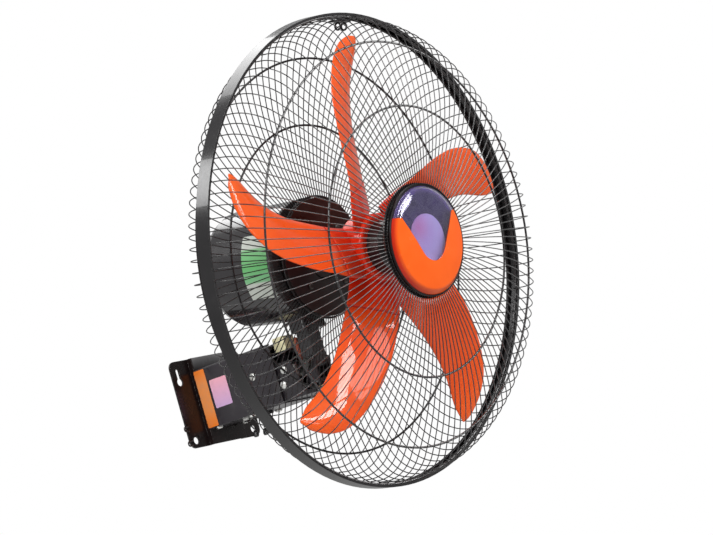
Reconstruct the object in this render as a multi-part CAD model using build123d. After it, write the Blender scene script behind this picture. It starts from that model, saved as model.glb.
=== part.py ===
from build123d import *
from math import acos, asin, atan, atan2, cos, degrees, hypot, pi, radians, sin, sqrt, tan
import os

os.makedirs("parts", exist_ok=True)

# Frame: origin on the wall plane at the middle of the wall plate, +Z up, the fan faces -Y. Millimetres.

# ---- wall plate and arm box ----
PLATE_W, PLATE_H, PLATE_T = 127.0, 107.0, 2.0
PLATE_CORNER = 9.0
WEB_W, WEB_STEP = 60.0, 6.0                    # raised middle of the plate
HOLE_X = 52.0                                  # fixing holes, each side of the middle
KEY_ROUND_Z, KEY_SLOT_Z = 28.0, 41.5
KEY_ROUND_R, KEY_SLOT_R = 4.75, 2.6
LOW_HOLE_Z, LOW_HOLE_R = -44.5, 4.5
SHEET = 1.5
BOX_TOP, BOX_BOTTOM = 38.0, -35.0
BOX_FRONT = -132.0
BOX_BACK = -(WEB_STEP + PLATE_T)
TOP_CUT_Y = -108.0                             # the top wall stops here, the side walls run on
SHELF_Z, SHELF_REACH = 24.5, 16.0
LABEL_T = 0.3
STRIP_W, STRIP_H, STRIP_Y, STRIP_Z = 17.0, 70.0, -15.0, 1.2
PANEL_W, PANEL_H, PANEL_Y, PANEL_Z = 27.5, 34.5, -41.0, 3.2
SWITCH_X, SWITCH_Y = 13.0, -54.0               # the two pull switches stand side by side on the floor
SWITCH_W, SWITCH_D, SWITCH_H = 20.0, 24.0, 20.0
NOSE_TUBE_R, NOSE_BORE_R, NOSE_REACH, NUT_H = 4.0, 2.0, 5.0, 3.0
INLET_Y, INLET_R, INLET_BORE = -76.0, 5.0, 3.0
COVER_SCREW_Y, COVER_SCREW_IN = (-18.0, -74.0), 6.0   # tabs of the box that hold the bottom cover
TAB_HALF, TAB_REACH = 6.0, 9.0
CORD_R, CORD_DROP, CORD_LEAN, STOP_R, STOP_H = 1.0, 16.0, 4.0, 3.2, 3.0
KNOB_GAP = 0.6
EYE_R, EYE_OUT, EYE_SPOTS = 0.9, 4.6, (-29.0, -47.0)   # two wire eyes at the plate's edge, and their heights
FREE_HOLE, TAP_HOLE = 1.55, 1.25               # clearance and thread holes of the small side screws

# ---- swing cradle, fork, crank and link ----
SWING_Y = -172.0                               # vertical swing axis
SWING_LIMIT = 40.0
CRANK_GAP = 38.0                               # swing axis to crank axis
ROCKER_ARM = 18.0
CRADLE_SIDE = 2.5                              # room each side between the cradle and the box's walls
CRADLE_W, CRADLE_BACK, CRADLE_TOP = WEB_W - 2 * (SHEET + CRADLE_SIDE), -89.0, 12.0
NOSE_R, NOSE_TOP = 16.5, -28.5
WALL_END = 6.0                                 # the tall side walls stop this far behind the swing axis
FLOOR_Z = BOX_BOTTOM + SHEET                   # underside of the cradle floor
JOURNAL_R, RUN_FIT = 5.0, 0.05
BUSH_R, BUSH_TOP = 8.5, -27.0
DISC_TOP, DISC_T, DISC_R = -19.0, 4.0, 13.8
CHEEK_T, CHEEK_IN, CHEEK_HALF = 3.0, 11.0, 9.0
TILT_Z = 2.0
BOLT_R = 4.0
LINK_T, LINK_W, LINK_GAP, PIN_R = 2.0, 7.0, 0.3, 2.0
CRANK_R, CRANK_T, CRANK_TOP = 13.5, 3.2, -18.3
BRIDGE_Z, BRIDGE_T = 8.0, 1.5
GEAR_R, GEAR_H = 17.5, 17.0                    # round geared swing motor under the bridge
GEAR_SHAFT_R = 3.0
BLOCK_W, BLOCK_D, BLOCK_H = 18.0, 18.0, 17.0   # pale terminal block
BLOCK_X, BLOCK_Y = -4.0, -135.0
BOX_SCREW_SPOTS = ((-96.5, 6.8),)              # y and z on each side wall
BRIDGE_SCREWS = ((-143.0, 2.5), (-136.5, -14.0))
BRIDGE_Y0, BRIDGE_Y1, TAB_Y0, TAB_Y1, TAB_LOW = -155.0, -112.0, -149.0, -131.0, -19.0
GEAR_SCREW_X = 13.0
CRANK_Y = SWING_Y + CRANK_GAP
LINK_TOP = DISC_TOP - DISC_T - LINK_GAP
LEAD_SPOTS = ((-2.0, 2.5), (19.0, 3.2))        # x and radius of the two sheathed leads
LEAD_Y, LEAD_TOP = -152.5, 37.0                # they stop clear of the head's swing and tilt

# ---- head: placed by the middle of the guard's front edge and the nod of the axis ----
HEAD_Y, HEAD_Z, HEAD_NOD = -299.0, 104.5, 8.7
WIRES = 120
WIRE_R, RING_R, RIM_R = 0.8, 1.5, 2.0
WIRE_SIDES = 8                                 # the straight wires' section, flat to flat 2 x WIRE_R
BAND_R, BAND_T, BAND_DEPTH, LIP, LIP_T = 277.5, 1.5, 17.9, 3.0, 1.2
SEAT = 0.1
BADGE_R, DISC_PLATE_R = 63.8, 70.0
# two hoops of each guard and its wires' inner ends: radius and height
FRONT_POINTS = ((0.8533 * BAND_R, 49.3), (0.5686 * BAND_R, 75.1), (BADGE_R - 1.8, 82.0))
REAR_POINTS = ((0.8425 * BAND_R, -61.1), (0.5643 * BAND_R, -79.4), (DISC_PLATE_R, -76.0))
FRONT_SHOULDER, REAR_SHOULDER = 45.0, 46.0
WIRE_PHASE = 1.0
CLIP_TURN = 4.7                                # the clip sits this far round from the top
DISC_PLATE_Z, DISC_PLATE_T = -74.0, 2.0
NOSE_HOLE_R = 27.0
MOTOR_FRONT_Z, MOTOR_JOINT_Z, MOTOR_REAR_Z = -84.0, -96.0, -205.0
MOTOR_FRONT_R, MOTOR_JOINT_R, MOTOR_REAR_R = 72.0, 71.0, 69.0
SHELL_T = 2.5
VENT_IN, VENT_LENGTH = MOTOR_FRONT_R - 24.0, 14.0   # slots in the motor's front face
SHAFT_R, BEARING_R, BEARING_L = 5.0, 11.0, 9.0
CORE_FRONT, CORE_BACK, CORE_R, CORE_BORE = -114.0, -144.0, 56.0, 31.0
AIR_GAP, STAY_GAP = 0.4, 0.4
COIL_IN, COIL_OUT, COIL_T = 34.0, 52.0, 11.0
LUG_HALF_X, LUG_HALF_Y, LUG_ROUND = 10.8, 9.0, 9.0
GROMMET_Z, GROMMET_R, GROMMET_BORE = -136.0, 5.0, 3.5
LABEL_FRONT, LABEL_REAR, LABEL_FROM, LABEL_ARC = -99.0, -139.0, 148.0, 64.0
PLATE_SCREW_R, PLATE_SCREWS = 45.0, 4
TAIL_SCREW_R, TAIL_SCREWS = 18.5, 3
PIN_Z, PIN_REACH = -40.0, 12.0                 # cross pin that drives the fan hub

# ---- blade ----
BLADES, FAN_TURN = 5, 5.0                     # the fan has stopped this far round
TIP_GAP = 27.5                                 # blade tip to the band's outside
SWEEP_R = BAND_R - TIP_GAP
HUB_R, HUB_BACK, HUB_FRONT, HUB_WALL = 40.0, -14.0, 20.0, 2.6
BOSS_R, BOSS_BACK = 13.0, -46.0
BLADE_T, ROOT_T, BLADE_CAMBER = 2.0, 4.4, 0.06
# per station: share of the sweep's radius, turn from the hub's mark, width, height on the axis, slope
ROOT_END = (0.296, -20.9, 61.6, 10.2, -0.45)   # the thick root of each blade stops at this station
BLADE_STATIONS = ((0.120, -27.5, 62.0, 3.5, -0.30), (0.248, -22.5, 62.0, 9.0, -0.42),
                  (0.368, -18.5, 61.0, 12.0, -0.50), (0.564, -14.9, 61.0, 11.5, -0.48),
                  (0.752, -10.3, 61.0, 8.5, -0.36), (0.896, -5.0, 57.0, 6.0, -0.28),
                  (0.964, -1.8, 40.0, 4.0, -0.20), (1.0, 1.0, 17.0, 1.5, -0.15))
SPINNER_R, SPINNER_FRONT, SPINNER_WALL = 31.0, 42.0, 3.0
GROOVE_COUNT = 24
SHAFT_FRONT = 34.0

# ---- badge ----
CAP_WALL, CAP_DRAFT, CAP_RISE, CAP_EASE = 6.0, 1.0, 4.0, 4.0   # steep wall, its slant, dome and rounded shoulder
COVER_T, LENS_T, LENS_GAP = 1.8, 1.5, 0.3
OPENING_LOW, OPENING_R, OPENING_TOP = -25.0, 24.0, 29.0   # round low end of the cover's opening, and its top
OPENING_SPREAD = 31.0                          # its sides lean out by this angle
SHOULDER_OUT, SHOULDER_UP = 20.0, 2.0          # above them it widens to the cover's edge
BASE_OUT, BASE_FLOOR, BASE_RIM, PICTURE_R, PICTURE_T = 4.0, 1.6, 3.5, 30.0, 1.4
BASE_LOW = FRONT_POINTS[2][1] + WIRE_R + 0.6
BADGE_SCREW_R, BADGE_SCREWS, BADGE_PLATE_T = 40.0, 3, 2.0
BADGE_BACK_Z = FRONT_POINTS[2][1] - WIRE_R - 2 * RING_R - 0.3 - BADGE_PLATE_T


def head_at(shape):
    """Moves a shape from the head's own frame (+Z forward, +Y up) to the part's frame."""
    return Location((0, HEAD_Y, HEAD_Z), (HEAD_NOD, 0, 0)) * Location((0, 0, 0), (90, 0, 0)) * shape


def save(name, *shapes):
    solids = [s for shape in shapes for s in shape.solids()]
    export_step(solids[0] if len(solids) == 1 else Compound(children=solids), f"parts/{name}.step")


def block(x0, x1, y0, y1, z0, z1):
    return Pos((x0 + x1) / 2, (y0 + y1) / 2, (z0 + z1) / 2) * Box(x1 - x0, y1 - y0, z1 - z0)


def rod(radius, z0, z1, x=0.0, y=0.0):
    return Pos(x, y, (z0 + z1) / 2) * Cylinder(radius, z1 - z0)


def rod_x(radius, x0, x1, y=0.0, z=0.0):
    return Pos((x0 + x1) / 2, y, z) * Rot(0, 90, 0) * Cylinder(radius, x1 - x0)


def rod_y(radius, y0, y1, x=0.0, z=0.0):
    return Pos(x, (y0 + y1) / 2, z) * Rot(90, 0, 0) * Cylinder(radius, y1 - y0)


def turned(points, arc=360.0):
    """Solid of revolution about Z from (radius, z) points."""
    face = make_face(Polyline(*[(r, 0, z) for r, z in points], close=True))
    return revolve(face, Axis.Z, arc)


def around(shape, count, start=0.0):
    return [Rot(0, 0, start + 360.0 * k / count) * shape for k in range(count)]


def clockwise(angle):
    """Turn about +Z that looks clockwise from the front."""
    return Rot(0, 0, -angle)


# ------------------------------------------------------------------ wall plate, box, labels
def wall_plate():
    w, h, t, s = PLATE_W / 2, WEB_W / 2, PLATE_T, WEB_STEP
    outline = [(-w, 0), (-w, -t), (-h, -t), (-h, -s - t), (h, -s - t), (h, -t), (w, -t), (w, 0),
               (h - t, 0), (h - t, -s), (-h + t, -s), (-h + t, 0)]
    face = make_face(Polyline(*[(x, y, -PLATE_H / 2) for x, y in outline], close=True))
    body = extrude(face, amount=PLATE_H, dir=(0, 0, 1))
    corners = body.edges().filter_by(Axis.Y).filter_by(lambda e: abs(abs(e.center().X) - w) < 0.1)
    body = fillet(corners, PLATE_CORNER)
    for side in (-1, 1):
        x = side * HOLE_X
        body -= rod_y(KEY_ROUND_R, -9, 1, x, KEY_ROUND_Z)
        body -= rod_y(KEY_SLOT_R, -9, 1, x, KEY_SLOT_Z)
        body -= block(x - KEY_SLOT_R, x + KEY_SLOT_R, -9, 1, KEY_ROUND_Z, KEY_SLOT_Z)
        body -= rod_y(LOW_HOLE_R, -9, 1, x, LOW_HOLE_Z)
    return body


def arm_box():
    half = WEB_W / 2
    outer = block(-half, half, BOX_FRONT, BOX_BACK, BOX_BOTTOM, BOX_TOP)
    outer = fillet(outer.edges().filter_by(Axis.Y).group_by(Axis.Z)[-1], 2 * SHEET)
    inner = block(-half + SHEET, half - SHEET, BOX_FRONT - 1, BOX_BACK + 1, BOX_BOTTOM - 1, BOX_TOP - SHEET)
    inner = fillet(inner.edges().filter_by(Axis.Y).group_by(Axis.Z)[-1], SHEET)
    body = outer - inner
    body -= block(-half + 3, half - 3, BOX_FRONT - 1, TOP_CUT_Y, BOX_TOP - 2 * SHEET, BOX_TOP + 1)
    for side in (-1, 1):
        for y, z in BOX_SCREW_SPOTS:
            body -= rod_x(FREE_HOLE, side * half - 3, side * half + 3, y, z)
        for y in COVER_SCREW_Y:
            x0, x1 = sorted((side * (half - SHEET / 2), side * (half - SHEET - TAB_REACH)))
            body += block(x0, x1, y - TAB_HALF, y + TAB_HALF, BOX_BOTTOM + SHEET, BOX_BOTTOM + 2 * SHEET)
            body -= rod(TAP_HOLE, BOX_BOTTOM, BOX_BOTTOM + 3 * SHEET, side * (half - COVER_SCREW_IN), y)
    shelf = block(-half + SHEET, half - SHEET, BOX_FRONT - SHELF_REACH, TOP_CUT_Y, SHELF_Z, SHELF_Z + SHEET)
    shelf -= block(4.5, 40, BOX_FRONT - SHELF_REACH - 1, BOX_FRONT, SHELF_Z - 1, SHELF_Z + 4)
    shelf -= block(-40, -14.5, BOX_FRONT - SHELF_REACH - 1, BOX_FRONT, SHELF_Z - 1, SHELF_Z + 4)
    return body + shelf


def bottom_cover():
    """Flat plate under the box's tabs. It carries the two switches and the cable's gland."""
    half, z = WEB_W / 2 - SHEET - SEAT, BOX_BOTTOM
    body = block(-half, half, BOX_FRONT, BOX_BACK, z, z + SHEET)
    for side in (-1, 1):
        body -= rod(NOSE_TUBE_R + SEAT, z - 1, z + 3, side * SWITCH_X, SWITCH_Y)
        for y in COVER_SCREW_Y:
            body -= rod(FREE_HOLE, z - 1, z + 3, side * (WEB_W / 2 - COVER_SCREW_IN), y)
    return body - rod(INLET_R, z - 1, z + 3, 0, INLET_Y)


def label(width, height, y, z):
    plate = Rot(0, -90, 0) * extrude(RectangleRounded(height, width, 1.5), LABEL_T)
    return Pos(-WEB_W / 2, y, z) * plate


def wire_eyes():
    """Two bent wire eyes that lie on the plate's front face and stand out past its edge."""
    edge, y, half = -PLATE_W / 2, -PLATE_T - EYE_R, 3 * EYE_R
    out = []
    for z in EYE_SPOTS:
        path = FilletPolyline((edge + half, y, z - half), (edge - EYE_OUT, y, z - half), (edge - EYE_OUT, y, z + half),
                              (edge + half, y, z + half), radius=2.6 * EYE_R)
        out.append(sweep(Plane(origin=path @ 0, z_dir=path % 0) * Circle(EYE_R), path=path))
    return out


def cable_gland():
    ring = rod(INLET_R + 3, BOX_BOTTOM - 3, BOX_BOTTOM, 0, INLET_Y)
    ring += rod(INLET_R - 0.1, BOX_BOTTOM, BOX_BOTTOM + 4, 0, INLET_Y)
    ring += rod(INLET_R + 2, BOX_BOTTOM + SHEET, BOX_BOTTOM + 4, 0, INLET_Y)
    return ring - rod(INLET_BORE, BOX_BOTTOM - 5, BOX_BOTTOM + 6, 0, INLET_Y)


def pull_switch(side):
    x, z = side * SWITCH_X, BOX_BOTTOM + SHEET
    body = fillet(block(x - SWITCH_W / 2, x + SWITCH_W / 2, SWITCH_Y - SWITCH_D / 2,
                        SWITCH_Y + SWITCH_D / 2, z, z + SWITCH_H).edges().filter_by(Axis.Z), 2.0)
    body += rod(NOSE_TUBE_R, BOX_BOTTOM - NOSE_REACH, z, x, SWITCH_Y)
    body -= rod(NOSE_BORE_R, BOX_BOTTOM - NOSE_REACH - 1, z + 3, x, SWITCH_Y)
    body -= block(x - 6, x + 6, SWITCH_Y - 6, SWITCH_Y + 6, z + 2.5, z + SWITCH_H - 2.5)
    for dx in (-5, 5):
        body += block(x + dx - 2.0, x + dx + 2.0, SWITCH_Y + 3, SWITCH_Y + 3.8, z + SWITCH_H, z + SWITCH_H + 6)
    return body


def switch_nuts():
    nuts = []
    for side in (-1, 1):
        nut = extrude(RegularPolygon(6.5, 6), NUT_H) - Cylinder(NOSE_TUBE_R + 0.05, 20)
        nuts.append(Pos(side * SWITCH_X, SWITCH_Y, BOX_BOTTOM - NUT_H) * nut)
    return nuts


def pull_cord(side):
    """Short cord: straight through the switch nose, then leaning out to its knob."""
    x, top = side * SWITCH_X, BOX_BOTTOM + SHEET + 6.0
    route = FilletPolyline((x, SWITCH_Y, top), (x, SWITCH_Y, BOX_BOTTOM - NOSE_REACH - 2),
                           (x - side * CORD_LEAN, SWITCH_Y - CORD_LEAN, BOX_BOTTOM - CORD_DROP), radius=6.0)
    cord = sweep(Plane(origin=route @ 0, z_dir=route % 0) * Circle(CORD_R), path=route)
    stop = rod(STOP_R, top, top + STOP_H, x, SWITCH_Y)
    return cord + stop, route


def pull_knob(side):
    bell = turned([(0, -9), (2.6, -8.6), (3.6, -6.5), (3.0, -3.0), (1.7, -0.4), (0, 0)])
    return Pos(side * (SWITCH_X - CORD_LEAN), SWITCH_Y - CORD_LEAN, BOX_BOTTOM - CORD_DROP - KNOB_GAP) * bell


# ------------------------------------------------------------------ swing mechanism
def cradle_plan(grow):
    """Plan of the cradle: straight sides, then tapering to a round nose about the swing axis."""
    half = CRADLE_W / 2 - grow
    back = CRADLE_BACK - SWING_Y
    rect = Pos(0, (WALL_END + back) / 2) * Rectangle(2 * half, back - WALL_END)
    nose = Circle(NOSE_R - grow)
    return make_hull(rect.edges() + nose.edges())


def swing_cradle():
    plan = Pos(0, SWING_Y, FLOOR_Z) * cradle_plan(0.0)
    inner = Pos(0, SWING_Y, FLOOR_Z + SHEET) * cradle_plan(SHEET)
    body = extrude(plan, amount=CRADLE_TOP - FLOOR_Z, dir=(0, 0, 1))
    body -= extrude(inner, amount=CRADLE_TOP - FLOOR_Z + 5, dir=(0, 0, 1))
    body -= block(-WEB_W, WEB_W, SWING_Y - 2 * NOSE_R, SWING_Y + WALL_END, NOSE_TOP, CRADLE_TOP + 1)
    slope = make_face(Polyline((0, SWING_Y + WALL_END - 1, NOSE_TOP), (0, SWING_Y + WALL_END + 12, CRADLE_TOP + 1),
                               (0, SWING_Y + WALL_END - 1, CRADLE_TOP + 1), close=True))
    body -= extrude(slope, amount=WEB_W, dir=(1, 0, 0), both=True)
    mouth = CRADLE_W / 2 - 4
    body -= block(-mouth, mouth, CRADLE_BACK - 5, CRADLE_BACK + 5, FLOOR_Z + SHEET, CRADLE_TOP + 1)
    body -= rod(6.5, FLOOR_Z - 1, FLOOR_Z + 4, 0, SWING_Y)
    for side in (-1, 1):
        wall, box_wall = side * CRADLE_W / 2, side * (WEB_W / 2 - SHEET)
        for y, z in BRIDGE_SCREWS:
            body -= rod_x(FREE_HOLE, wall - 3, wall + 3, y, z)
        for y, z in BOX_SCREW_SPOTS:
            body += rod_x(4.0, *sorted((wall - side * SHEET, box_wall)), y, z)
            body -= rod_x(TAP_HOLE, wall - 5, wall + 5, y, z)
    return body


def motor_bridge():
    half = CRADLE_W / 2 - SHEET
    body = block(-half, half, BRIDGE_Y0, BRIDGE_Y1, BRIDGE_Z, BRIDGE_Z + BRIDGE_T)
    for side in (-1, 1):
        x0, x1 = sorted((side * half, side * (half - SHEET)))
        body += block(x0, x1, TAB_Y0, TAB_Y1, TAB_LOW, BRIDGE_Z + 0.1)
        for y, z in BRIDGE_SCREWS:
            body -= rod_x(TAP_HOLE, side * half - 3, side * half + 3, y, z)
        body -= rod(FREE_HOLE, BRIDGE_Z - 1, BRIDGE_Z + 4, side * GEAR_SCREW_X, CRANK_Y)
    for x, r in LEAD_SPOTS:
        body -= rod(r + 0.5, BRIDGE_Z - 1, BRIDGE_Z + 4, x, LEAD_Y)
    return body


def pan_screw(r, length, head_r, head_h):
    """Screw along +Z: head above z = 0, shank below."""
    head = turned([(0, 0), (head_r, 0), (head_r, head_h * 0.55), (head_r * 0.7, head_h), (0, head_h)])
    head -= Pos(0, 0, head_h) * Box(head_r * 1.3, 0.8, head_h * 0.8)
    head -= Pos(0, 0, head_h) * Box(0.8, head_r * 1.3, head_h * 0.8)
    return head + rod(r, -length, 0.05)


def side_screws(spots, face, length):
    return [Pos(side * face, y, z) * Rot(0, side * 90, 0) * pan_screw(1.2, length, 4.6, 2.6)
            for side in (-1, 1) for y, z in spots]


def box_screws():
    """Two screws from the sides into the cradle and four from below that hold the cover, all alike."""
    screw = Rot(180, 0, 0) * pan_screw(1.2, 7.0, 4.6, 2.6)
    x = WEB_W / 2 - COVER_SCREW_IN
    low = [Pos(side * x, y, BOX_BOTTOM) * screw for side in (-1, 1) for y in COVER_SCREW_Y]
    return side_screws(BOX_SCREW_SPOTS, WEB_W / 2, 7.0) + low


def swing_motor():
    top = BRIDGE_Z
    can = fillet(rod(GEAR_R, top - GEAR_H, top, 0, CRANK_Y).edges(), 1.2)
    shaft = rod(GEAR_SHAFT_R, CRANK_TOP + 0.4, top - GEAR_H + 1, 0, CRANK_Y)
    boss = rod(6, top - GEAR_H - 2, top - GEAR_H + 1, 0, CRANK_Y)
    body = can + shaft + boss
    for side in (-1, 1):
        body -= rod(1.2, top - 6, top + 1, side * GEAR_SCREW_X, CRANK_Y)
    return body


def crank_pin():
    """Crank pin place when the fork stands straight ahead, from the lengths of the four bars."""
    throw = crank_throw()
    length = link_length()
    a, b = 2 * CRANK_GAP * throw, -2 * ROCKER_ARM * throw
    rest = length ** 2 - throw ** 2 - ROCKER_ARM ** 2 - CRANK_GAP ** 2
    angle = asin(rest / hypot(a, b)) - atan2(b, a)
    return throw * cos(angle), CRANK_Y + throw * sin(angle)


def crank_throw():
    total = CRANK_GAP ** 2 + ROCKER_ARM ** 2
    turn = 2 * CRANK_GAP * ROCKER_ARM * sin(radians(SWING_LIMIT))
    return (sqrt(total + turn) - sqrt(total - turn)) / 2


def link_length():
    total = CRANK_GAP ** 2 + ROCKER_ARM ** 2
    turn = 2 * CRANK_GAP * ROCKER_ARM * sin(radians(SWING_LIMIT))
    return (sqrt(total + turn) + sqrt(total - turn)) / 2


def swing_crank():
    x, y = crank_pin()
    body = rod(CRANK_R, CRANK_TOP - CRANK_T, CRANK_TOP, 0, CRANK_Y)
    body += rod(5.5, CRANK_TOP - 0.1, CRANK_TOP + 3.5, 0, CRANK_Y)
    body -= rod(GEAR_SHAFT_R + RUN_FIT, CRANK_TOP - CRANK_T - 1, CRANK_TOP + 5, 0, CRANK_Y)
    return body + rod(PIN_R, LINK_TOP + 0.4, CRANK_TOP - CRANK_T + 0.1, x, y)


def swing_link():
    x0, y0 = ROCKER_ARM, SWING_Y
    x1, y1 = crank_pin()
    length = hypot(x1 - x0, y1 - y0)
    bar = extrude(SlotCenterToCenter(length, LINK_W), LINK_T)
    bar = Location(((x0 + x1) / 2, (y0 + y1) / 2, LINK_TOP - LINK_T), (0, 0, degrees(atan2(y1 - y0, x1 - x0)))) * bar
    bar -= rod(PIN_R + RUN_FIT, LINK_TOP - 5, LINK_TOP + 5, x0, y0)
    return bar - rod(PIN_R + RUN_FIT, LINK_TOP - 5, LINK_TOP + 5, x1, y1)


def link_clip():
    z = LINK_TOP - LINK_T - LINK_GAP
    return rod(3.4, z - 1.2, z, ROCKER_ARM, SWING_Y) - rod(PIN_R, z - 3, z + 3, ROCKER_ARM, SWING_Y)


def neck_bush():
    floor = FLOOR_Z + SHEET
    body = rod(BUSH_R, floor, BUSH_TOP, 0, SWING_Y) + rod(6.4, FLOOR_Z - 0.5, floor + 0.1, 0, SWING_Y)
    return body - rod(JOURNAL_R + RUN_FIT, FLOOR_Z - 2, BUSH_TOP + 2, 0, SWING_Y)


def swing_fork():
    low = DISC_TOP - DISC_T
    body = rod(DISC_R, low, DISC_TOP, 0, SWING_Y)
    lug = extrude(SlotCenterToCenter(2 * ROCKER_ARM, 7), DISC_T)
    lug = Pos(0, SWING_Y, low) * lug
    body += lug - block(-40, -DISC_R + 2, SWING_Y - 10, SWING_Y + 10, low - 1, DISC_TOP + 1)
    body += rod(7.0, BUSH_TOP + 0.3, low + 0.1, 0, SWING_Y)
    body += rod(JOURNAL_R, FLOOR_Z - 7.0, low, 0, SWING_Y)
    body += rod(PIN_R, LINK_TOP - LINK_T - LINK_GAP - 1.9, low + 0.1, ROCKER_ARM, SWING_Y)
    for side in (-1, 1):
        x0, x1 = sorted((side * CHEEK_IN, side * (CHEEK_IN + CHEEK_T)))
        cheek = block(x0, x1, SWING_Y - CHEEK_HALF, SWING_Y + CHEEK_HALF, DISC_TOP - 1, TILT_Z)
        cheek += rod_x(CHEEK_HALF, x0, x1, SWING_Y, TILT_Z)
        body += cheek & rod(CHEEK_IN + CHEEK_T + 3, low, TILT_Z + 2 * CHEEK_HALF, 0, SWING_Y)
    saddle = rod(DISC_R + 3.5, DISC_TOP - 2, DISC_TOP, 0, SWING_Y)
    body += saddle & block(-CHEEK_IN - CHEEK_T, CHEEK_IN + CHEEK_T, SWING_Y - CHEEK_HALF,
                           SWING_Y + CHEEK_HALF, DISC_TOP - 2, DISC_TOP)
    return body - rod_x(BOLT_R, -30, 30, SWING_Y, TILT_Z)


def neck_nut():
    z = FLOOR_Z - 0.8
    nut = extrude(RegularPolygon(8.5, 6), -4.5) - Cylinder(JOURNAL_R, 30)
    return Pos(0, SWING_Y, z) * nut


def tilt_bolt():
    x = CHEEK_IN + CHEEK_T
    body = rod_x(BOLT_R, -x - 1.2, x + 8, SWING_Y, TILT_Z)
    head = Rot(0, -90, 0) * extrude(RegularPolygon(6.5, 6), 4.5)
    return body + Pos(-x - 1.2, SWING_Y, TILT_Z) * head


def tilt_washers():
    x = CHEEK_IN + CHEEK_T
    return [rod_x(7.0, x0, x0 + 1.2, SWING_Y, TILT_Z) - rod_x(BOLT_R, x0 - 2, x0 + 4, SWING_Y, TILT_Z)
            for x0 in (-x - 1.2, x)]


def tilt_nut():
    x = CHEEK_IN + CHEEK_T + 1.2
    nut = Rot(0, 90, 0) * extrude(RegularPolygon(6.5, 6), 5.0)
    return Pos(x, SWING_Y, TILT_Z) * nut - rod_x(BOLT_R, x - 2, x + 9, SWING_Y, TILT_Z)


def terminal_block():
    z = SHELF_Z + SHEET
    body = block(BLOCK_X - BLOCK_W / 2, BLOCK_X + BLOCK_W / 2, BLOCK_Y - BLOCK_D / 2,
                 BLOCK_Y + BLOCK_D / 2, z, z + BLOCK_H)
    body = chamfer(body.edges().filter_by(Axis.X), 1.5)
    for k in (-1, 1):
        body -= rod(2.4, z + BLOCK_H - 5, z + BLOCK_H + 1, BLOCK_X + k * BLOCK_W / 4, BLOCK_Y + 3)
    body -= block(BLOCK_X - 0.8, BLOCK_X + 0.8, BLOCK_Y - 12, BLOCK_Y + 12, z + BLOCK_H - 6, z + BLOCK_H + 1)
    return body


def motor_leads():
    """Two sheathed leads that stand up from the bridge below the motor's grommets."""
    out, routes = [], []
    for x, r in LEAD_SPOTS:
        route = Line((x, LEAD_Y, BRIDGE_Z + 0.3), (x, LEAD_Y, LEAD_TOP))
        out.append(sweep(Plane(origin=route @ 0, z_dir=route % 0) * Circle(r), path=route))
        routes.append((route, r))
    return out, routes


# ------------------------------------------------------------------ guard wires
def circle_through(p, q, s):
    (ax, ay), (bx, by), (cx, cy) = p, q, s
    d = 2 * (ax * (by - cy) + bx * (cy - ay) + cx * (ay - by))
    a2, b2, c2 = ax * ax + ay * ay, bx * bx + by * by, cx * cx + cy * cy
    x = (a2 * (by - cy) + b2 * (cy - ay) + c2 * (ay - by)) / d
    y = (a2 * (cx - bx) + b2 * (ax - cx) + c2 * (bx - ax)) / d
    return x, y, hypot(ax - x, ay - y)


def guard_profile(side, points, shoulder, start_z):
    """Radial wire: a straight start at the rim, a shoulder arc, then the dome arc to the middle.
    side is 1 for the front guard and -1 for the rear. Gives the dome arc and the wire's corner points."""
    rc, zc, rd = circle_through(*[(r, side * z) for r, z in points])
    rim = BAND_R - BAND_T - SEAT - 2 * RIM_R - WIRE_R
    sr = rim - shoulder
    sz = zc + sqrt((rd - shoulder) ** 2 - (sr - rc) ** 2)
    turn = atan2(sz - zc, sr - rc)
    end_r = points[2][0]
    end = acos((end_r - rc) / rd)
    arc = lambda c, z, r, a: (c + r * cos(a), side * (z + r * sin(a)))
    marks = [(rim, start_z), (rim, side * sz), arc(sr, sz, shoulder, turn / 2), arc(sr, sz, shoulder, turn),
             arc(rc, zc, rd, (turn + end) / 2), arc(rc, zc, rd, end)]
    return marks, (rc, side * zc, rd, side)


def guard_wire(marks):
    p = [(0, r, z) for r, z in marks]
    path = Wire([Edge.make_line(p[0], p[1]), Edge.make_three_point_arc(p[1], p[2], p[3]),
                 Edge.make_three_point_arc(p[3], p[4], p[5])])
    section = RegularPolygon(WIRE_R, WIRE_SIDES, major_radius=False, rotation=180 / WIRE_SIDES)
    return sweep(Plane(origin=p[0], x_dir=(1, 0, 0), z_dir=(0, 0, p[1][2] - p[0][2])) * section, path=path)


def ring_on(dome, radius, wire_r, inside):
    """Hoop that lies on the wires, inside or outside the dome, touching them."""
    rc, zc, rd, side = dome
    a = acos((radius - rc) / rd)
    d = rd + (-1 if inside else 1) * (WIRE_R + wire_r)
    return Pos(0, 0, zc + side * d * sin(a)) * Torus(rc + d * cos(a), wire_r)


def guard(side, points, shoulder, start_z, rim_z):
    marks, dome = guard_profile(side, points, shoulder, start_z)
    wire = guard_wire(marks)
    wires = around(wire, WIRES, -WIRE_PHASE)
    rim = Pos(0, 0, rim_z) * Torus(BAND_R - BAND_T - SEAT - RIM_R, RIM_R)
    hoops = [ring_on(dome, points[0][0], RING_R, True), ring_on(dome, points[1][0], RING_R, True),
             ring_on(dome, points[2][0] + RING_R, RING_R, True)]
    return wires + [rim] + hoops


def rim_band():
    r, t, d = BAND_R, BAND_T, BAND_DEPTH
    return turned([(r, 0), (r - LIP, 0), (r - LIP, -LIP_T), (r - t, -LIP_T), (r - t, -d + LIP_T),
                   (r - LIP, -d + LIP_T), (r - LIP, -d), (r, -d)])


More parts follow.
